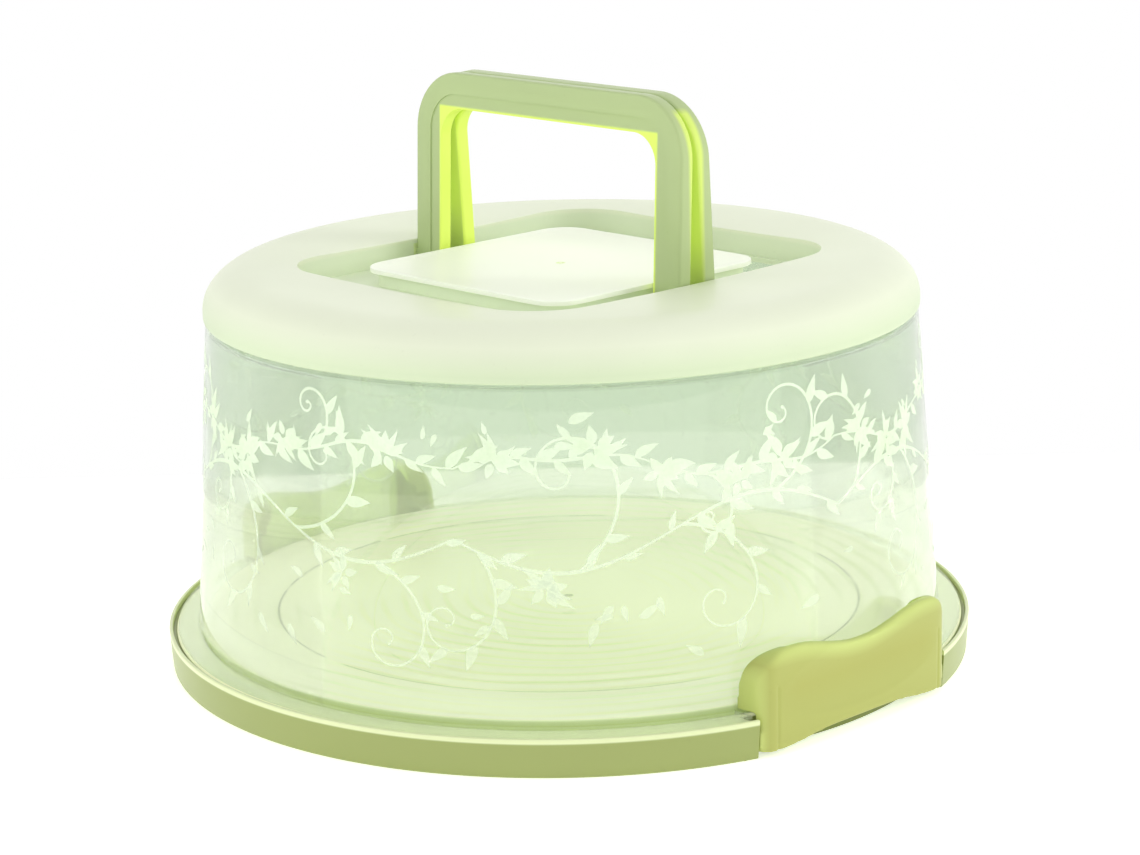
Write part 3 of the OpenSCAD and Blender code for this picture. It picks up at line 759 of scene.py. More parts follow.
def cap_finish(s, name="cap_pale", panel=False):
    """Very pale plastic, with painted shade at its lower edge, in the well and on the panel's skirt, and a
    painted glow on the pads and the panel.
    """
    finish = Finish(name)
    if panel:
        top = s.panel_top / MM
        # Painted shade on the panel's skirt, the saturated lime on the gate mark, and a painted glow over
        # the whole panel.
        skirt = finish.z.under(top - s.panel_wall / MM - 0.5, 0.5)
        colour = finish.mix(skirt, s.panel_colour, s.well_shade_colour)
        gate = finish.radius.near(s.gate_radius / MM, 0.5, 0.5) + finish.radius.under(0.7, 0.3) * 0.6
        colour = finish.mix(gate * finish.z.over(top - 1.4, 0.5) * 0.7, colour, s.glow)
        finish.set(Emission_Color=colour, Emission_Strength=s.panel_painted_glow)
    else:
        across, along = abs(finish.x), abs(finish.y)
        shoulder, well_x = s.shoulder_height / MM, s.well_x / 2 / MM
        well_y, crown = s.well_y / 2 / MM, shoulder + s.shoulder_rise / MM
        # Painted shade on the lower part of the cap's side.
        low = finish.z.under(shoulder + 4, 9.0) * finish.radius.over(s.radius / MM - 6.3, 3)
        colour = finish.mix(low * 0.85, s.colour, s.shade)
        # Painted shade inside the well.
        inside = (across.under(well_x + 0.9, 0.8) * along.under(well_y + 0.9, 0.8)
                  * finish.z.under(crown - 2.3, 1.2))
        colour = finish.mix(inside, colour, s.well_shade_colour)
        # Painted glow in a saturated lime on the pads round the pivots.
        boss = (finish.z.near(s.pivot_height / MM, 3.4, 0.3)
                * along.near(s.pivot_place / MM, 3.4, 0.3)
                * across.over(well_x - 2, 0.5) * across.under(well_x + 0.7, 0.3))
        colour = finish.mix(boss * 0.9, colour, s.glow)
    return moulded(finish, colour, rough=0.4, coat=0.12)


def handle_finish(s):
    """Lime plastic, painted brighter with a painted glow where the inner faces catch each other's light and
    between the two handles.
    """
    finish = Finish("handle_lime")
    half, up = (s.half_width - s.bar) / MM, finish.z - s.pivot_height / MM
    reach, bar = s.reach / MM, s.bar / MM
    # Painted light: the inner faces and the gap between the handles get a brighter lime and a glow.
    inner = abs(finish.x).under(half + 0.9, 0.8) * up.under(reach - bar + 0.9, 0.8)
    between = abs(finish.y).under(3.4, 1.6) * up.under(reach - 5.4, 2)
    bright = inner.most(between * 0.7)
    colour = finish.mix(bright, s.colour, s.glow)
    lit = finish.mix(bright, BLACK, s.glow)
    finish.set(Emission_Color=lit, Emission_Strength=s.glow_level)
    return moulded(finish, colour, rough=0.36, coat=0.2)


def clip_finish(s):
    """Lime plastic, painted lighter at its roof, its ends and its inner face as painted light, with painted
    shade in the finger recess and a painted glow on the inner face.
    """
    finish = Finish("clip_lime")
    across, half, tall = abs(finish.y), s.half_width / MM, s.height / MM
    lobe = half - s.corner / MM
    # Painted light: the inner face, the ends and the roof get a lighter lime, and the inner face glows.
    inside = (abs(finish.x).under((s.front - s.wall) / MM + 0.3, 0.8)
              * across.under(lobe + 0.5, 1.5))
    end = across.over(half - 1.5, 2.5) * 0.5
    turned = finish.y.do("COSINE", finish.y.do("MINIMUM", across, lobe) / lobe * (math.pi / 2))
    roof = (finish.z + turned * turned * (s.dip / MM)).over(tall - 3.5, 6) * 0.75
    # Painted shade: a deeper, yellower lime across the finger recess.
    grip = (across.under(s.grip_half / MM - 4, 10)
            * finish.z.near(s.grip_height / MM + 1, 5, 9) * 0.6)
    colour = finish.mix(grip, s.colour, s.grip_shade_colour)
    colour = finish.mix(inside.most(end).most(roof), colour, s.painted_side_light_colour)
    lit = finish.mix(inside, BLACK, s.painted_side_light_colour)
    finish.set(Emission_Color=lit, Emission_Strength=s.glow)
    return moulded(finish, colour, rough=0.36, coat=0.18)


def steel_finish():
    """Brushed screw steel."""
    finish = Finish("screw_steel")
    brushed = finish.node("ShaderNodeTexWave", {"wave_type": "RINGS", "rings_direction": "Z"},
                          {"Vector": finish.place, "Scale": 900.0, "Distortion": 2.0})
    stain = finish.noise(300, 2)
    colour = finish.mix(stain * 0.5, (0.62, 0.63, 0.64), (0.42, 0.42, 0.43))
    return finish.set(Base_Color=colour, Metallic=1.0, Roughness=0.25 + brushed * 0.15,
                      Normal=finish.bump(brushed, 0.1))


def frost_finish(s):
    """Frosted ink, worn a little unevenly, with a faint painted glow."""
    finish = Finish("dome_frost")
    worn = finish.noise(700, 3, 0.6)
    colour = finish.mix(finish.noise(60, 2), s.colour, (0.86, 0.93, 0.80))
    high = finish.z.over(s.low / MM + 20, 40)
    cover = s.cover * (0.45 + high * 0.55) + (worn - 0.5) * 0.14
    # Painted glow on the ink.
    return finish.set(Base_Color=colour, Roughness=0.6 + worn * 0.2, Emission_Color=(0.9, 1.0, 0.82),
                      Emission_Strength=s.glow, Alpha=cover, Normal=finish.bump(worn, 0.2))


# ---- pieces ----

class CARRIER_OT_tray(bpy.types.Operator):
    """Build the tray with its rim, groove, plate, ribs and notches"""
    bl_idname = "carrier.tray"
    bl_label = "Tray"

    def execute(self, context):
        s = context.scene.carrier_tray
        under = s.plate_height - s.plate_wall
        inner = s.foot_radius - s.skirt_wall
        foot = s.ring_radius - s.rib_width
        seat_under = s.seat_height - s.plate_wall
        groove_under = s.groove_height - s.plate_wall
        mark, mark_z = s.ring_radius, s.plate_height - s.mark_depth
        profile = fillet([   # radius, height and rounding of each corner
            (0, under, 0), (foot, under, 0.6 * MM), (foot, 0, 0.3 * MM), (s.ring_radius, 0, 0.3 * MM),
            (s.ring_radius, under, 0.6 * MM), (s.plate_radius - s.plate_wall, under, 0.5 * MM),
            (s.plate_radius - s.plate_wall, seat_under, 0.5 * MM), (inner, groove_under, 0.8 * MM),
            (inner, 0, 0.5 * MM), (s.foot_radius, 0, 0.7 * MM), (s.rim_radius, s.rim_height, 0.55 * MM),
            (s.lip_radius, s.rim_height, 0.45 * MM), (s.lip_radius, s.groove_height, 0.3 * MM),
            (s.groove_radius, s.groove_height, 0.3 * MM), (s.groove_radius, s.seat_height, 0.3 * MM),
            (s.plate_radius + 0.3 * MM, s.seat_height, 0.2 * MM),
            (s.plate_radius, s.plate_height, 0.9 * MM),
            (mark, s.plate_height, 0), (mark - s.mark_slope, mark_z, 0),
            (mark - s.mark_slope - s.mark_floor, mark_z, 0),
            (mark - 2 * s.mark_slope - s.mark_floor, s.plate_height, 0), (0, s.plate_height, 0),
        ])
        tray = lathe("base_tray_body", profile)
        root = seat_under + 0.3 * MM
        rib = block("rib", (foot + s.rib_width / 2, -s.rib_width / 2, s.rib_foot),
                    (s.notch_radius - s.notch_wall * 0.7, s.rib_width / 2, root))
        ribs = [copied(rib, "rib_copy", turn=(0, 0, math.tau * i / s.ribs)) for i in range(s.ribs)]
        drop(rib)
        carve(tray, joined(ribs, "ribs"), "UNION")
        wall_end = s.notch_half + s.block_depth
        near, far = s.groove_radius - 0.05, s.groove_radius + 0.01
        wall = block("wall", (near, -wall_end, 0.2 * MM), (far, wall_end, root + 0.3 * MM))
        carve(wall, rod("outside", s.notch_radius + 0.5 * MM, (0, 0, 0), "Z", TALL, 240), "INTERSECT")
        carve(wall, rod("inside", s.notch_radius - s.notch_wall, (0, 0, 0), "Z", TALL, 240))
        both_sides(tray, wall, "UNION")
        hinge = context.scene.carrier_clip
        for side in (-1, 1):
            ends = sorted((side * (s.notch_half - MM), side * (wall_end - 0.2 * MM)))
            socket = block("socket", (s.foot_radius - 21 * MM, ends[0], 0),
                           (s.foot_radius - 10 * MM, ends[1], s.groove_height - 0.6 * MM))
            both_sides(tray, socket, "UNION")
        notch = block("notch", (near, -s.notch_half, -MM), (far, s.notch_half, s.rim_height + MM))
        carve(notch, rod("behind", s.notch_radius, (0, 0, 0), "Z", TALL, 200))
        both_sides(tray, notch)
        both_sides(tray, rod("bore", s.socket_radius, (hinge.hinge_x, 0, hinge.hinge_height), "Y",
                             2 * s.socket_half, 24))
        shade(clean(tray), 30)
        hand_over(tray, "tray_visible", tray_finish(s), "tray", "tray_plastic", "base_tray")
        return {"FINISHED"}


class CARRIER_OT_dome(bpy.types.Operator):
    """Build the clear dome with its flange, its closed top and its screw bosses"""
    bl_idname = "carrier.dome"
    bl_label = "Dome"

    def execute(self, context):
        s = context.scene.carrier_dome
        lean = (s.foot_radius - s.top_radius) / (s.top_height - s.seat_height)
        wall_foot = s.foot_radius - lean * (s.flange_top - s.seat_height)
        profile = fillet([   # radius, height and rounding of each corner
            (0, s.collar_height - s.wall, 0),
            (s.collar_radius - s.wall, s.collar_height - s.wall, 1.0 * MM),
            (s.collar_radius - s.wall, s.top_height - s.wall, 0.6 * MM),
            (s.top_radius - s.wall, s.top_height - s.wall, 1.2 * MM),
            (s.foot_radius - s.wall, s.seat_height, 0.3 * MM), (s.flange_radius, s.seat_height, 0.6 * MM),
            (s.flange_radius, s.flange_top, 0.6 * MM), (wall_foot, s.flange_top, 1.4 * MM),
            (s.top_radius, s.top_height, 0.5 * MM), (s.collar_radius, s.top_height, 0.3 * MM),
            (s.collar_radius, s.collar_height, 0.6 * MM), (0, s.collar_height, 0),
        ])
        dome = lathe("dome_body", profile)
        places = [(x * s.boss_place, y * s.boss_place) for x in (-1, 1) for y in (-1, 1)]
        floor = s.collar_height - s.wall / 2
        carve(dome, joined([rod("boss", s.boss_radius, (x, y, (floor + s.boss_top) / 2), "Z",
                                s.boss_top - floor, 32) for x, y in places], "bosses"), "UNION")
        carve(dome, joined([rod("bore", s.screw_radius, (x, y, s.boss_top), "Z",
                                2 * (s.boss_top - s.collar_height), 24) for x, y in places], "bores"))
        low, high = s.seat_height - MM, s.flange_top + 0.9 * MM
        near, far = s.foot_radius - 0.02, s.flange_radius + 0.01
        trim = block("trim", (near, -s.notch_half, low), (far, s.notch_half, high))
        carve(trim, rod("bow", s.trim_radius, (s.bow_centre, 0, 0), "Z", TALL, 720))
        both_sides(dome, trim)
        for side in (-1, 1):
            ends = sorted((side * s.slot_inner, side * s.notch_half))
            slot = block("slot", (near, ends[0], low), (far, ends[1], high))
            carve(slot, rod("round", s.slot_radius, (0, 0, 0), "Z", TALL, ROUND))
            both_sides(dome, slot)
        shade(clean(dome), 28)
        hand_over(dome, "dome_visible", clear_finish(s), "lid", "clear_dome", "dome_cover")
        return {"FINISHED"}


class CARRIER_OT_cap(bpy.types.Operator):
    """Build the pale cap with its handle well and finger recesses"""
    bl_idname = "carrier.cap"
    bl_label = "Cap"

    def execute(self, context):
        s = context.scene.carrier_cap
        crown = s.shoulder_height + s.shoulder_rise
        rise = s.sink / (s.radius - s.shoulder_width - s.well_x / 2)
        middle_z = crown - rise * (s.radius - s.shoulder_width)

        def shoulder(inset):
            return [(s.radius - s.shoulder_width + (s.shoulder_width - inset) * math.cos(a),
                     s.shoulder_height + (s.shoulder_rise - inset) * math.sin(a), 0) for a in quarter(24)]

        ledge = s.bottom + 3.5 * MM
        profile = fillet([   # radius, height and rounding of each corner
            (0, middle_z - s.wall, 0), *reversed(shoulder(s.wall)),
            (s.radius - s.wall, ledge, 0.4 * MM), (s.collar_radius, ledge, 0.3 * MM),
            (s.collar_radius, s.bottom, 0.3 * MM), (s.radius, s.bottom, 0.8 * MM), *shoulder(0),
            (0, middle_z, 0),
        ])
        cap = lathe("cap_body", profile)
        half_x, half_y, tub_top = s.well_x / 2, s.well_y / 2, crown - s.sink - s.wall / 2
        tub_x, tub_y = half_x + s.floor_wall, half_y + s.floor_wall
        tub = block("tub", (-tub_x, -tub_y, s.floor_height - s.floor_wall), (tub_x, tub_y, tub_top),
                    s.well_radius + s.floor_wall)
        carve(cap, tub, "UNION")
        pads = joined([block("pad", (side * (half_x + s.floor_wall / 2), -s.pivot_place - s.pad / 2,
                                     s.pivot_height - s.pad / 2),
                             (side * (tub_x + 2.2 * MM), s.pivot_place + s.pad / 2,
                              s.pivot_height + s.pad / 2)) for side in (-1, 1)], "pads")
        carve(cap, clean(pads), "UNION")
        carve(cap, block("well", (-half_x, -half_y, s.floor_height), (half_x, half_y, crown + 0.02),
                         s.well_radius, segments=14))
        rim = crown - s.sink - 0.4 * MM
        pick_edges(cap, lambda e: min(v.co.z for v in e.verts) > rim and e.is_manifold
                   and e.calc_face_angle(0) > math.radians(50))
        bpy.ops.mesh.bevel(offset=1.0 * MM, segments=4, profile=0.5, affect="EDGES", clamp_overlap=True)
        leave()
        floor = s.floor_height - s.floor_wall
        low, high = floor - 5 * MM, s.floor_height + 5 * MM
        for side in (-1, 1):
            y = side * s.recess_place
            carve(cap, block("recess", (-s.recess_x / 2, y - s.recess_y / 2, low),
                             (s.recess_x / 2, y + s.recess_y / 2, high), s.recess_radius))
            carve(cap, rod("pivots", s.pivot_radius, (0, side * s.pivot_place, s.pivot_height), "X",
                           2 * s.pivot_half, 32))
        dome = context.scene.carrier_dome
        carve(cap, joined([rod("hole", dome.screw_radius, (x * dome.boss_place, y * dome.boss_place, floor),
                               "Z", 20 * MM, 24) for x in (-1, 1) for y in (-1, 1)], "holes"))
        tab = s.panel_side / 2 - s.overhang - s.floor_wall / 2
        wide, long = s.tab_thick + s.tab_gap, s.tab_half + s.tab_gap
        carve(cap, joined([block("slot", (x * tab - wide, -long, floor - MM), (x * tab + wide, long, high))
                           for x in (-1, 1)], "slots"))
        shade(clean(cap), 32)
        hand_over(cap, "cap_visible", cap_finish(s), "lid", "cap_plastic", "top_cap")
        return {"FINISHED"}


class CARRIER_OT_panel(bpy.types.Operator):
    """Build the square panel in the middle of the well"""
    bl_idname = "carrier.panel"
    bl_label = "Panel"

    def execute(self, context):
        s = context.scene.carrier_cap
        half = s.panel_side / 2
        under = s.panel_top - s.panel_wall
        panel = block("panel", (-half, -half, under), (half, half, s.panel_top), s.panel_radius,
                      segments=14)
        pick_faces(panel, lambda f: f.normal.z > 0.9)
        for width, depth in ((0.25 * MM, 0), (s.lip - 0.6 * MM, 0), (0.5 * MM, -s.lip_drop)):
            bpy.ops.mesh.inset(thickness=width, depth=depth)
        leave()
        pick_edges(panel, lambda e: all(abs(v.co.z - s.panel_top) < 1e-6 for v in e.verts)
                   and max(f.normal.z for f in e.link_faces) > 0.9 > min(f.normal.z for f in e.link_faces)
                   and min(f.normal.z for f in e.link_faces) < 0.1)
        bpy.ops.mesh.bevel(offset=0.22 * MM, segments=2, profile=0.5, affect="EDGES")
        leave()
        pick_faces(panel, lambda f: f.normal.z < -0.9)
        bpy.ops.mesh.inset(thickness=s.overhang, depth=0)
        extrude((0, 0, s.floor_height - under))
        bpy.ops.mesh.inset(thickness=s.floor_wall, depth=0)
        extrude((0, 0, under - s.floor_height))
        leave()
        gate_z = s.panel_top - s.lip_drop
        deep = 0.5 * MM
        carve(panel, rod("gate", s.gate_radius, (0, 0, gate_z), "Z", deep, 32))
        stub = rod("stub", s.gate_radius * 0.5, (0, 0, gate_z - 0.2 * MM), "Z", deep, 24)
        carve(panel, stub, "UNION")
        tab = half - s.overhang - s.floor_wall / 2
        tabs = joined([block("tab", (x * tab - s.tab_thick, -s.tab_half, s.floor_height - s.floor_wall),
                             (x * tab + s.tab_thick, s.tab_half, s.floor_height + s.floor_wall))
                       for x in (-1, 1)], "tabs")
        carve(panel, tabs, "UNION")
        shade(clean(panel), 32)
        hand_over(panel, "panel_visible", cap_finish(s, "panel_pale", True), "lid", "cap_plastic",
                  "handle_panel")
        return {"FINISHED"}


class CARRIER_OT_handles(bpy.types.Operator):
    """Build one handle, and its twin turned half round"""
    bl_idname = "carrier.handles"
    bl_label = "Handles"

    def execute(self, context):
        s = context.scene.carrier_handle
        deep = s.thickness / 2
        inner_x, inner_top = s.half_width - s.bar, s.reach - s.bar
        out = 20 * MM   # beyond the bar on every side

        def arched(name, half, front, back, bottom, top, corner, steps):
            return block(name, (-half, front, bottom), (half, back, top), corner, "Y", steps,
                         ends=(False, True))

        arch = arched("arch", s.half_width, -deep, deep, -deep, s.reach, s.corner, 20)
        carve(arch, arched("gap", inner_x, -out, out, -out, inner_top, s.inner_corner, 16))
        pick_edges(arch, lambda e: all(abs(v.co.z + deep) < 1e-6 for v in e.verts)
                   and abs(e.verts[0].co.y - e.verts[1].co.y) < 1e-6)
        bpy.ops.mesh.bevel(offset=deep * 0.98, segments=8, profile=0.5, affect="EDGES")
        leave()
        soften(arch, s.soft, 4, 50)
        step_x, step_top = s.half_width - s.band, s.reach - s.band
        carve(arch, arched("step", step_x, -out, -deep + s.step, -out, step_top, s.corner - s.band, 18))
        soften(arch, 0.18 * MM, 2, 40)
        root = s.half_width - 2 * MM
        pins = joined([rod("pin", s.pin_radius, (side * (root + s.pin_end) / 2, 0, 0), "X",
                           s.pin_end - root, 32) for side in (-1, 1)], "pins")
        carve(arch, pins, "UNION")
        shade(clean(moved(arch, (0, -s.pivot_place, s.pivot_height), (-s.lean, 0, 0))), 36)
        material = handle_finish(s)
        twin = copied(arch, "twin", turn=(0, 0, math.pi))
        hand_over(arch, "handle_front", material, "front_handle", "handle_plastic", "front_handle")
        hand_over(twin, "handle_rear", material, "rear_handle", "handle_plastic", "rear_handle")
        return {"FINISHED"}


class CARRIER_OT_clips(bpy.types.Operator):
    """Build one clip, and its twin turned half round"""
    bl_idname = "carrier.clips"
    bl_label = "Clips"
    near, far, wide, tall = 0.11, 0.16, 0.06, 0.05   # reach of the tools past the clip in X, Y and Z

    def bow(self, s, name, inset):
        """The space behind the bowed front, drawn in by inset."""
        return rod(name, s.bow_radius - inset, (s.bow_centre, 0, 0), "Z", 2 * TALL, 720)

    def body(self, s, inset, wall, high):
        """The clip's outer shape drawn in by inset, open below and towards the dome."""
        lobe = s.half_width - s.corner
        side, corner, top = s.half_width - inset, s.corner - inset, s.height - inset
        turns = quarter(12)
        across = [lobe * (1 - k / 20) for k in range(1, 40)]
        face = ([(-side, -6 * MM), (side, -6 * MM)]
                + [(lobe + corner * math.cos(a), top - corner + corner * math.sin(a)) for a in turns]
                + [(y, high(y)) for y in across]
                + [(-lobe - corner * math.sin(a), top - corner + corner * math.cos(a)) for a in turns])
        body = prism("face", face, "X", self.near, self.far)
        round_r, centre_z = s.shoulder - inset, s.height - s.shoulder
        roof = [(s.shoulder_x - round_r * math.cos(a), centre_z + round_r * math.sin(a)) for a in turns]
        outline = [(self.near, -8 * MM), (self.near, centre_z), *roof, (self.far, centre_z + round_r),
                   (self.far, -8 * MM)]
        carve(body, prism("side", outline, "Y", -self.wide, self.wide), "INTERSECT")
        bow, fall = s.bow_radius - wall, s.side_corner - inset
        end = side - fall

        def front(y):
            return s.bow_centre + math.sqrt(bow ** 2 - y ** 2)

        start = self.near + 2 * MM
        plan = ([(start, -side)]
                + [(front(end) - fall + fall * math.sin(a), -end - fall * math.cos(a)) for a in turns]
                + [(front(y), y) for y in (end * (k / 12 - 1) for k in range(1, 24))]
                + [(front(end) - fall + fall * math.cos(a), end + fall * math.sin(a)) for a in turns]
                + [(start, side)])
        return carve(body, prism("plan", plan, "Z", -10 * MM, self.tall), "INTERSECT")

    def even(self, obj, grid, times):
        """Lays an even mesh over obj and smooths it, which rounds every edge."""
        activate(obj)
        cells = obj.modifiers.new("Cells", "REMESH")
        cells.mode, cells.voxel_size = "VOXEL", grid
        bpy.ops.object.modifier_apply(modifier=cells.name)
        smooth = obj.modifiers.new("Smooth", "SMOOTH")
        smooth.factor, smooth.iterations = 0.5, times
        bpy.ops.object.modifier_apply(modifier=smooth.name)
        return obj

    def execute(self, context):
        s = context.scene.carrier_clip
        lobe = s.half_width - s.corner

        def low(y):
            ramp = min(1, max(0, (s.half_width - s.tab - abs(y)) / s.ramp))
            return s.tab_height + (s.low_height - s.tab_height) * (1 - math.cos(math.pi * ramp)) / 2

        def top(y):
            return s.height - s.dip * math.cos(abs(y) / lobe * math.pi / 2) ** 2

        near, far, wide, tall = self.near - 10 * MM, self.far, self.wide, self.tall
        clip = self.even(self.body(s, 0.0, 0.0, top), s.coarse_grid, s.round_off)
        below = [(y * s.half_width / 24, low(y * s.half_width / 24)) for y in range(-26, 27)]
        below = [(-wide, -20 * MM), (-wide, s.tab_height), *below, (wide, s.tab_height), (wide, -20 * MM)]
        carve(clip, prism("below", below, "X", near, far + 10 * MM))
        carve(clip, block("under", (near, -wide, -20 * MM), (s.cheek_foot, wide, s.cheek_height)))
        carve(clip, self.body(s, s.cheek, s.wall, lambda y: s.height - s.cheek))
        middle = block("middle", (near, -lobe, -10 * MM), (far, lobe, tall))
        carve(clip, carve(middle, self.bow(s, "back", s.wall), "INTERSECT"))
        carve(clip, rod("bore", s.bore, (0, 0, 0), "Z", 2 * TALL, ROUND))
        rib = block("rib", (s.bore - 9 * MM, -s.rib_half, s.cheek_height),
                    (far, s.rib_half, s.cheek_height + s.rib_height))
        carve(rib, self.bow(s, "reach", s.wall + s.rib_reach))
        carve(clip, carve(rib, self.bow(s, "limit", MM), "INTERSECT"), "UNION")
        grip_x = s.front + s.grip_radius - s.grip_depth
        carve(clip, rod("grip", s.grip_radius, (grip_x, 0, s.grip_height), "Y", 2 * s.grip_half, ROUND))
        for side in (-1, 1):
            crease_x = s.bow_centre + math.sqrt(s.bow_radius ** 2 - s.grip_half ** 2) + s.crease * 0.3
            carve(clip, rod("crease", s.crease, (crease_x, side * s.grip_half, s.crease_height), "Z",
                            s.crease_span, 12))
            y, inner = side * (s.half_width - s.cheek / 2), s.half_width - MM
            ear = rod("ear", s.ear_radius, (s.hinge_x, y, s.hinge_height), "Y", s.cheek, 32)
            reach = block("reach", (s.hinge_x, y - s.cheek / 2, s.hinge_height - s.ear_radius),
                          (s.hinge_x + s.ear_reach, y + s.cheek / 2, s.hinge_height + s.ear_radius))
            pin = rod("pin", s.pin_radius, (s.hinge_x, side * (inner + s.pin_end) / 2, s.hinge_height), "Y",
                      s.pin_end - inner, 24)
            for part in (ear, reach, pin):
                carve(clip, part, "UNION")
        self.even(clip, s.grid, s.smooth)
        bpy.ops.object.shade_smooth()
        material = clip_finish(s)
        twin = copied(clip, "twin", turn=(0, 0, math.pi))
        hand_over(clip, "clip_right", material, "right_clip", "clip_plastic", "right_clip")
        hand_over(twin, "clip_left", material, "left_clip", "clip_plastic", "left_clip")
        return {"FINISHED"}


class CARRIER_OT_screws(bpy.types.Operator):
    """Give the four screws their steel"""
    bl_idname = "carrier.screws"
    bl_label = "Screws"

    def execute(self, context):
        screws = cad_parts["cap_screws"]
        screws.data.materials.clear()
        screws.data.materials.append(steel_finish())
        return {"FINISHED"}


class Scroll:
    """Flat shapes of the print, as points (along, up) in metres, collected for one mesh."""

    def __init__(self, lowest, highest):
        self.points, self.faces, self.limits = [], [], (lowest, highest)

    def add(self, points, faces):
        """Adds a shape, unless a part of it lies above or below the printed belt."""
        if all(self.limits[0] < point[1] < self.limits[1] for point in points):
            first = len(self.points)
            self.points += points
            self.faces += [tuple(first + i for i in face) for face in faces]

    def ribbon(self, path, widths):
        """A strip along a path."""
        points = []
        for i, here in enumerate(path):
            ahead = Vector(path[min(i + 1, len(path) - 1)]) - Vector(path[max(i - 1, 0)])
            side = Vector((-ahead.y, ahead.x)).normalized() * widths[i] / 2
            points += [tuple(Vector(here) + side), tuple(Vector(here) - side)]
        self.add(points, [(2 * i, 2 * i + 1, 2 * i + 3, 2 * i + 2) for i in range(len(path) - 1)])

    def leaf(self, root, angle, size, broad=0.36, bend=0.25):
        """A pointed leaf that grows from its root."""
        axis = Vector((math.cos(angle), math.sin(angle)))
        side = Vector((-axis.y, axis.x))
        points, faces, steps = [], [], 8
        for i in range(steps + 1):
            t = i / steps
            middle = Vector(root) + axis * size * t + side * bend * size * t * t
            half = max(broad * size * 0.5 * math.sin(math.pi * t ** 0.75) * (1 - 0.25 * t), 0.02 * MM)
            points += [tuple(middle + side * half), tuple(middle), tuple(middle - side * half)]
        for i in range(steps):
            a = 3 * i
            faces += [(a, a + 1, a + 4, a + 3), (a + 1, a + 2, a + 5, a + 4)]
        self.add(points, faces)

    def blossom(self, middle, size, turn, petals=5):
        """Petals round a small eye."""
        for k in range(petals):
            angle = turn + math.tau * k / petals
            root = Vector(middle) + Vector((math.cos(angle), math.sin(angle))) * size * 0.22
            self.leaf(root, angle, size, broad=0.62, bend=0.05)

    def tendril(self, root, angle, size, hand, turns=1.35, width=0.7 * MM):
        """A stem that winds into a spiral and ends in a small knob."""
        steps = 34
        here, path, widths = Vector(root), [tuple(root)], [width]
        heading = angle
        for i in range(steps):
            t = i / steps
            stride = size * 0.105 * (1 - t) ** 0.75 + size * 0.012
            heading += hand * math.tau * turns / steps * (0.35 + 1.3 * t)
            here = here + Vector((math.cos(heading), math.sin(heading))) * stride
            path.append(tuple(here))
            widths.append(width * (1 - 0.45 * t))
        self.ribbon(path, widths)
        self.leaf(path[-1], heading, 1.6 * MM, broad=0.9)
        return path


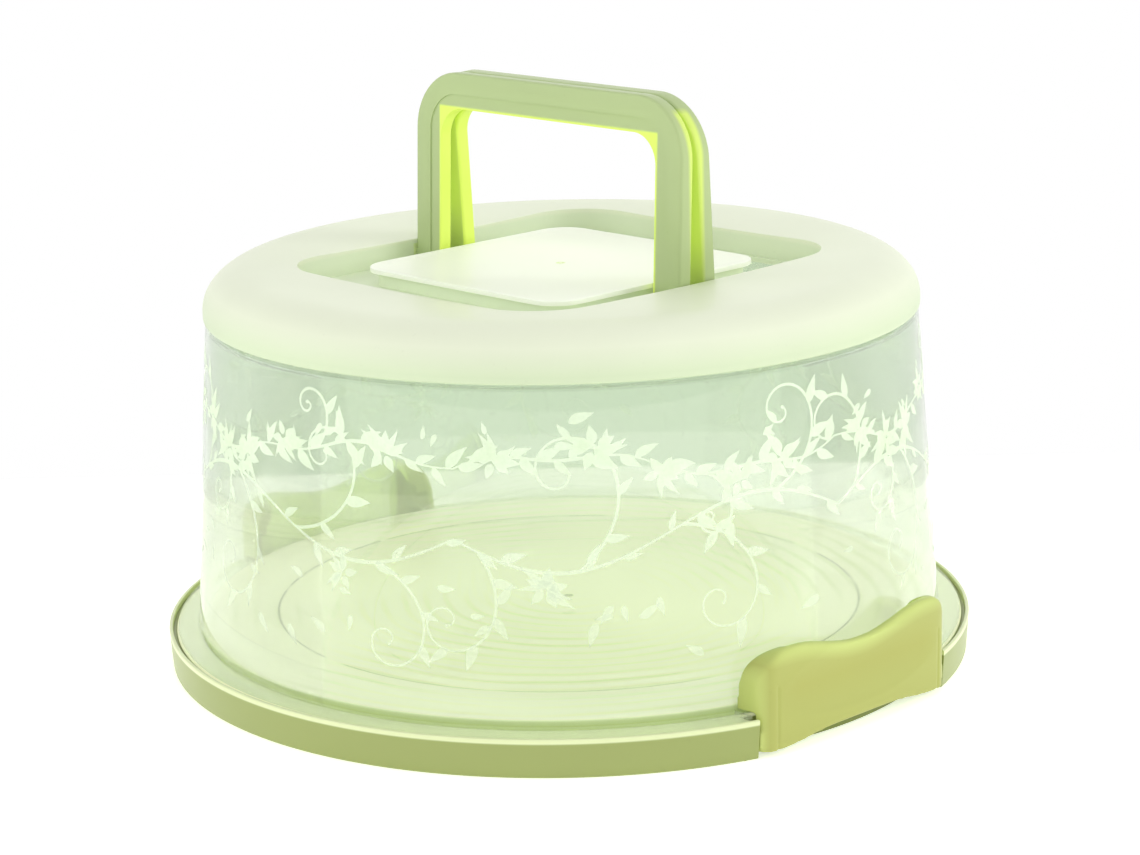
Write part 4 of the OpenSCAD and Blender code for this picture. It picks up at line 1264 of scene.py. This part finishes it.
class CARRIER_OT_print(bpy.types.Operator):
    """Build the frosted scroll printed round the dome"""
    bl_idname = "carrier.print"
    bl_label = "Print"

    def unit(self, s, chance, span, hand):
        """One repeat of the scroll: two stems with tendrils, leaves and blossoms, and loose leaves."""
        scroll = Scroll(s.lowest, s.highest)
        height = s.high - s.low

        def lower(t):
            return (span * t, s.low + height * (0.36 + hand * 0.2 * math.sin(math.tau * t)))

        def upper(t):
            return (span * t, s.low + height * (0.8 - hand * 0.09 * math.sin(math.tau * t)
                                                + 0.03 * math.sin(math.tau * 3 * t)))

        def heading(stem, t):
            here, ahead = Vector(stem(t)), Vector(stem(t + 0.01))
            return math.atan2(ahead.y - here.y, ahead.x - here.x)

        for stem, thick in ((lower, 1.1), (upper, 0.9)):
            scroll.ribbon([stem(i / 40) for i in range(41)],
                          [(thick - 0.3 * math.cos(math.tau * i / 20)) * MM for i in range(41)])
        for stem, t, side, size in ((lower, 0.06, 1, 30), (lower, 0.3, -1, 38), (lower, 0.55, 1, 34),
                                    (lower, 0.8, -1, 30), (upper, 0.2, -1, 22), (upper, 0.62, 1, 17)):
            angle = heading(stem, t) + hand * side * 0.5
            curl = scroll.tendril(stem(t), angle, size * MM, hand * side, width=1.15 * MM)
            for k in (3, 7, 11, 15):
                a, b = Vector(curl[k]), Vector(curl[k + 1])
                out = math.atan2(b.y - a.y, b.x - a.x) - hand * side * chance.uniform(0.4, 0.9)
                scroll.leaf(curl[k], out, chance.uniform(6.5, 10.5) * MM, 0.44, -hand * side * 0.2)
        for stem, count, sizes in ((lower, 11, (6.5, 10)), (upper, 26, (6.5, 10.5))):
            for i in range(count):
                t = (i + chance.uniform(0.2, 0.8)) / count
                side = 1 if i % 2 else -1
                scroll.leaf(stem(t), heading(stem, t) + side * chance.uniform(0.35, 1.2),
                            chance.uniform(*sizes) * MM, chance.uniform(0.36, 0.5), -side * 0.2)
        for stem, t, lift, size in ((lower, 0.22, 0.1, 6), (lower, 0.7, -0.1, 5.2),
                                    (upper, 0.1, 0.02, 5.6), (upper, 0.34, -0.05, 6.6),
                                    (upper, 0.5, 0.05, 5.4), (upper, 0.82, -0.02, 6.2)):
            here = Vector(stem(t)) + Vector((0, hand * lift * height))
            scroll.blossom(here, size * MM, chance.uniform(0, 1))
            for _ in range(4):
                scroll.leaf(here, chance.uniform(0, math.tau), chance.uniform(1.5, 1.9) * size * MM, 0.3)
        for _ in range(12):
            spot = (span * chance.uniform(0.03, 0.97), s.low - chance.uniform(-6, 24) * MM)
            scroll.leaf(spot, chance.uniform(0, math.tau), chance.uniform(5, 9) * MM, 0.45)
        for _ in range(7):
            spot = (span * chance.uniform(0.03, 0.97), s.high - chance.uniform(-2, 9) * MM)
            scroll.leaf(spot, chance.uniform(0, math.tau), chance.uniform(4, 6) * MM, 0.45)
        return scroll

    def execute(self, context):
        s, dome = context.scene.carrier_print, context.scene.carrier_dome
        lean = (dome.foot_radius - dome.top_radius) / (dome.top_height - dome.seat_height)
        middle_r = dome.foot_radius - lean * ((s.low + s.high) / 2 - dome.seat_height)
        span = math.tau * middle_r / s.repeats
        chance = random.Random(s.seed)
        points, faces = [], []
        for k in range(s.repeats):
            scroll = self.unit(s, chance, span, 1 if k % 2 == 0 else -1)
            first = len(points)
            for i, (along, up) in enumerate(scroll.points):
                angle = (along + k * span) / middle_r
                radius = dome.foot_radius - lean * (up - dome.seat_height) + s.lift + s.thickness
                points.append((radius * math.cos(angle), radius * math.sin(angle), up))
            faces += [tuple(first + i for i in face) for face in scroll.faces]
        mesh = bpy.data.meshes.new("print")
        mesh.from_pydata(points, [], faces)
        obj = bpy.data.objects.new("print", mesh)
        context.collection.objects.link(obj)
        turn_out(obj)
        activate(obj)
        thick = obj.modifiers.new("Thickness", "SOLIDIFY")
        thick.thickness, thick.offset = s.thickness, -1
        bpy.ops.object.modifier_apply(modifier=thick.name)
        hand_over(obj, "dome_print", frost_finish(s), "lid", "clear_dome")
        return {"FINISHED"}


def turn_out(obj):
    """Flips the faces of obj that look towards the Z axis."""
    pick_faces(obj, lambda f: f.normal.dot(Vector((*f.calc_center_median().xy, 0))) < 0)
    bpy.ops.mesh.flip_normals()
    leave()


class CARRIER_OT_stage(bpy.types.Operator):
    """Build the table, the backdrop, the lamps and the camera"""
    bl_idname = "carrier.stage"
    bl_label = "Stage"

    def lamp(self, name, place, size, power):
        bpy.ops.object.light_add(type="AREA", location=place)
        lamp = bpy.context.object
        lamp.name = name
        lamp.data.size, lamp.data.energy = size, power
        lamp.rotation_euler = (Vector((0, 0, 0.08)) - Vector(place)).to_track_quat("-Z", "Y").to_euler()
        lamp.visible_camera = lamp.visible_transmission = lamp.visible_glossy = False

    def execute(self, context):
        s = context.scene.carrier_studio
        cos_t, sin_t = math.cos(s.turn), math.sin(s.turn)
        back = Vector((sin_t * math.cos(s.tilt), -cos_t * math.cos(s.tilt), math.sin(s.tilt)))
        right = Vector((cos_t, sin_t, 0))
        up = back.cross(right)

        half = s.table_half
        table = block("table", (-half, -half, -0.02), (half, s.horizon, 0))
        moved(table, turn=(0, 0, s.turn))
        finish = Finish("table_white")
        through = finish.node("ShaderNodeLightPath", output="Is Transmission Ray")
        white = finish.mix(through, s.table, s.table_through)
        finish.set(Base_Color=white, Roughness=0.8 + finish.noise(8) * 0.1, Emission_Color=white,
                   Emission_Strength=s.glow)
        table.data.materials.append(finish.material)

        world = context.scene.world or bpy.data.worlds.new("World")
        context.scene.world = world
        world.use_nodes = True
        nodes = Nodes(world.node_tree)
        direct, glossy, clear = (nodes.node("ShaderNodeLightPath", output=f"Is {kind} Ray")
                                 for kind in ("Camera", "Glossy", "Transmission"))
        ground = world.node_tree.nodes["Background"]
        seen = direct.most(glossy).most(clear)
        nodes.feed(ground.inputs["Strength"], s.ambient + seen * (1 - s.ambient))
        nodes.feed(ground.inputs["Color"], nodes.mix(clear, (1, 1, 1), s.behind))

        ahead = Vector((sin_t, -cos_t, 0))
        for name, forward, across, height, size, power in (
                ("key_lamp", 0.8, -0.8, 1.2, 1.1, s.key), ("top_lamp", -0.3, 0.2, 1.6, 1.2, s.top),
                ("left_lamp", 0.1, -1.3, 0.5, 0.7, s.side * 0.8),
                ("right_lamp", 0.1, 1.3, 0.6, 0.7, s.side * 1.3),
                ("rear_lamp", -1.3, 0, 0.6, 0.9, s.side),
                ("front_lamp", 1.3, 0.2, 0.55, 0.7, s.side * 0.6)):
            self.lamp(name, tuple(ahead * forward + right * across + Vector((0, 0, height))), size, power)

        bpy.ops.object.camera_add()
        camera = bpy.context.object
        across = right * math.cos(s.roll) - up * math.sin(s.roll)
        above = right * math.sin(s.roll) + up * math.cos(s.roll)
        target = Vector((s.target_right * cos_t, s.target_right * sin_t, s.target_height))
        place = target + back * s.distance
        camera.matrix_world = Matrix((
            (across.x, above.x, back.x, place.x), (across.y, above.y, back.y, place.y),
            (across.z, above.z, back.z, place.z), (0, 0, 0, 1)))
        camera.data.lens, camera.data.sensor_width = s.lens, 36
        camera.data.clip_start, camera.data.clip_end = 0.01, 20
        context.scene.camera = camera
        context.scene.view_settings.view_transform = "Standard"
        return {"FINISHED"}


class CARRIER_PT_pieces(bpy.types.Panel):
    """The carrier's build steps"""
    bl_idname = "CARRIER_PT_pieces"
    bl_label = "Cake carrier"
    bl_space_type = "VIEW_3D"
    bl_region_type = "UI"
    bl_category = "Carrier"

    def draw(self, context):
        for step in STEPS:
            self.layout.operator(step.bl_idname)


SETTINGS = {
    "carrier_tray": TraySettings, "carrier_dome": DomeSettings, "carrier_cap": CapSettings,
    "carrier_handle": HandleSettings, "carrier_clip": ClipSettings, "carrier_print": PrintSettings,
    "carrier_studio": StudioSettings,
}
STEPS = (CARRIER_OT_tray, CARRIER_OT_dome, CARRIER_OT_cap, CARRIER_OT_panel, CARRIER_OT_screws,
         CARRIER_OT_handles, CARRIER_OT_clips, CARRIER_OT_print, CARRIER_OT_stage)


def register():
    for cls in (*SETTINGS.values(), *STEPS, CARRIER_PT_pieces):
        bpy.utils.register_class(cls)
    for name, settings in SETTINGS.items():
        setattr(bpy.types.Scene, name, PointerProperty(type=settings))


def unregister():
    for name in SETTINGS:
        delattr(bpy.types.Scene, name)
    for cls in reversed((*SETTINGS.values(), *STEPS, CARRIER_PT_pieces)):
        bpy.utils.unregister_class(cls)


def main():
    """Builds every piece in order."""
    register()
    for step in STEPS:
        group, name = step.bl_idname.split(".")
        getattr(getattr(bpy.ops, group), name)()


if __name__ == "__main__":
    main()
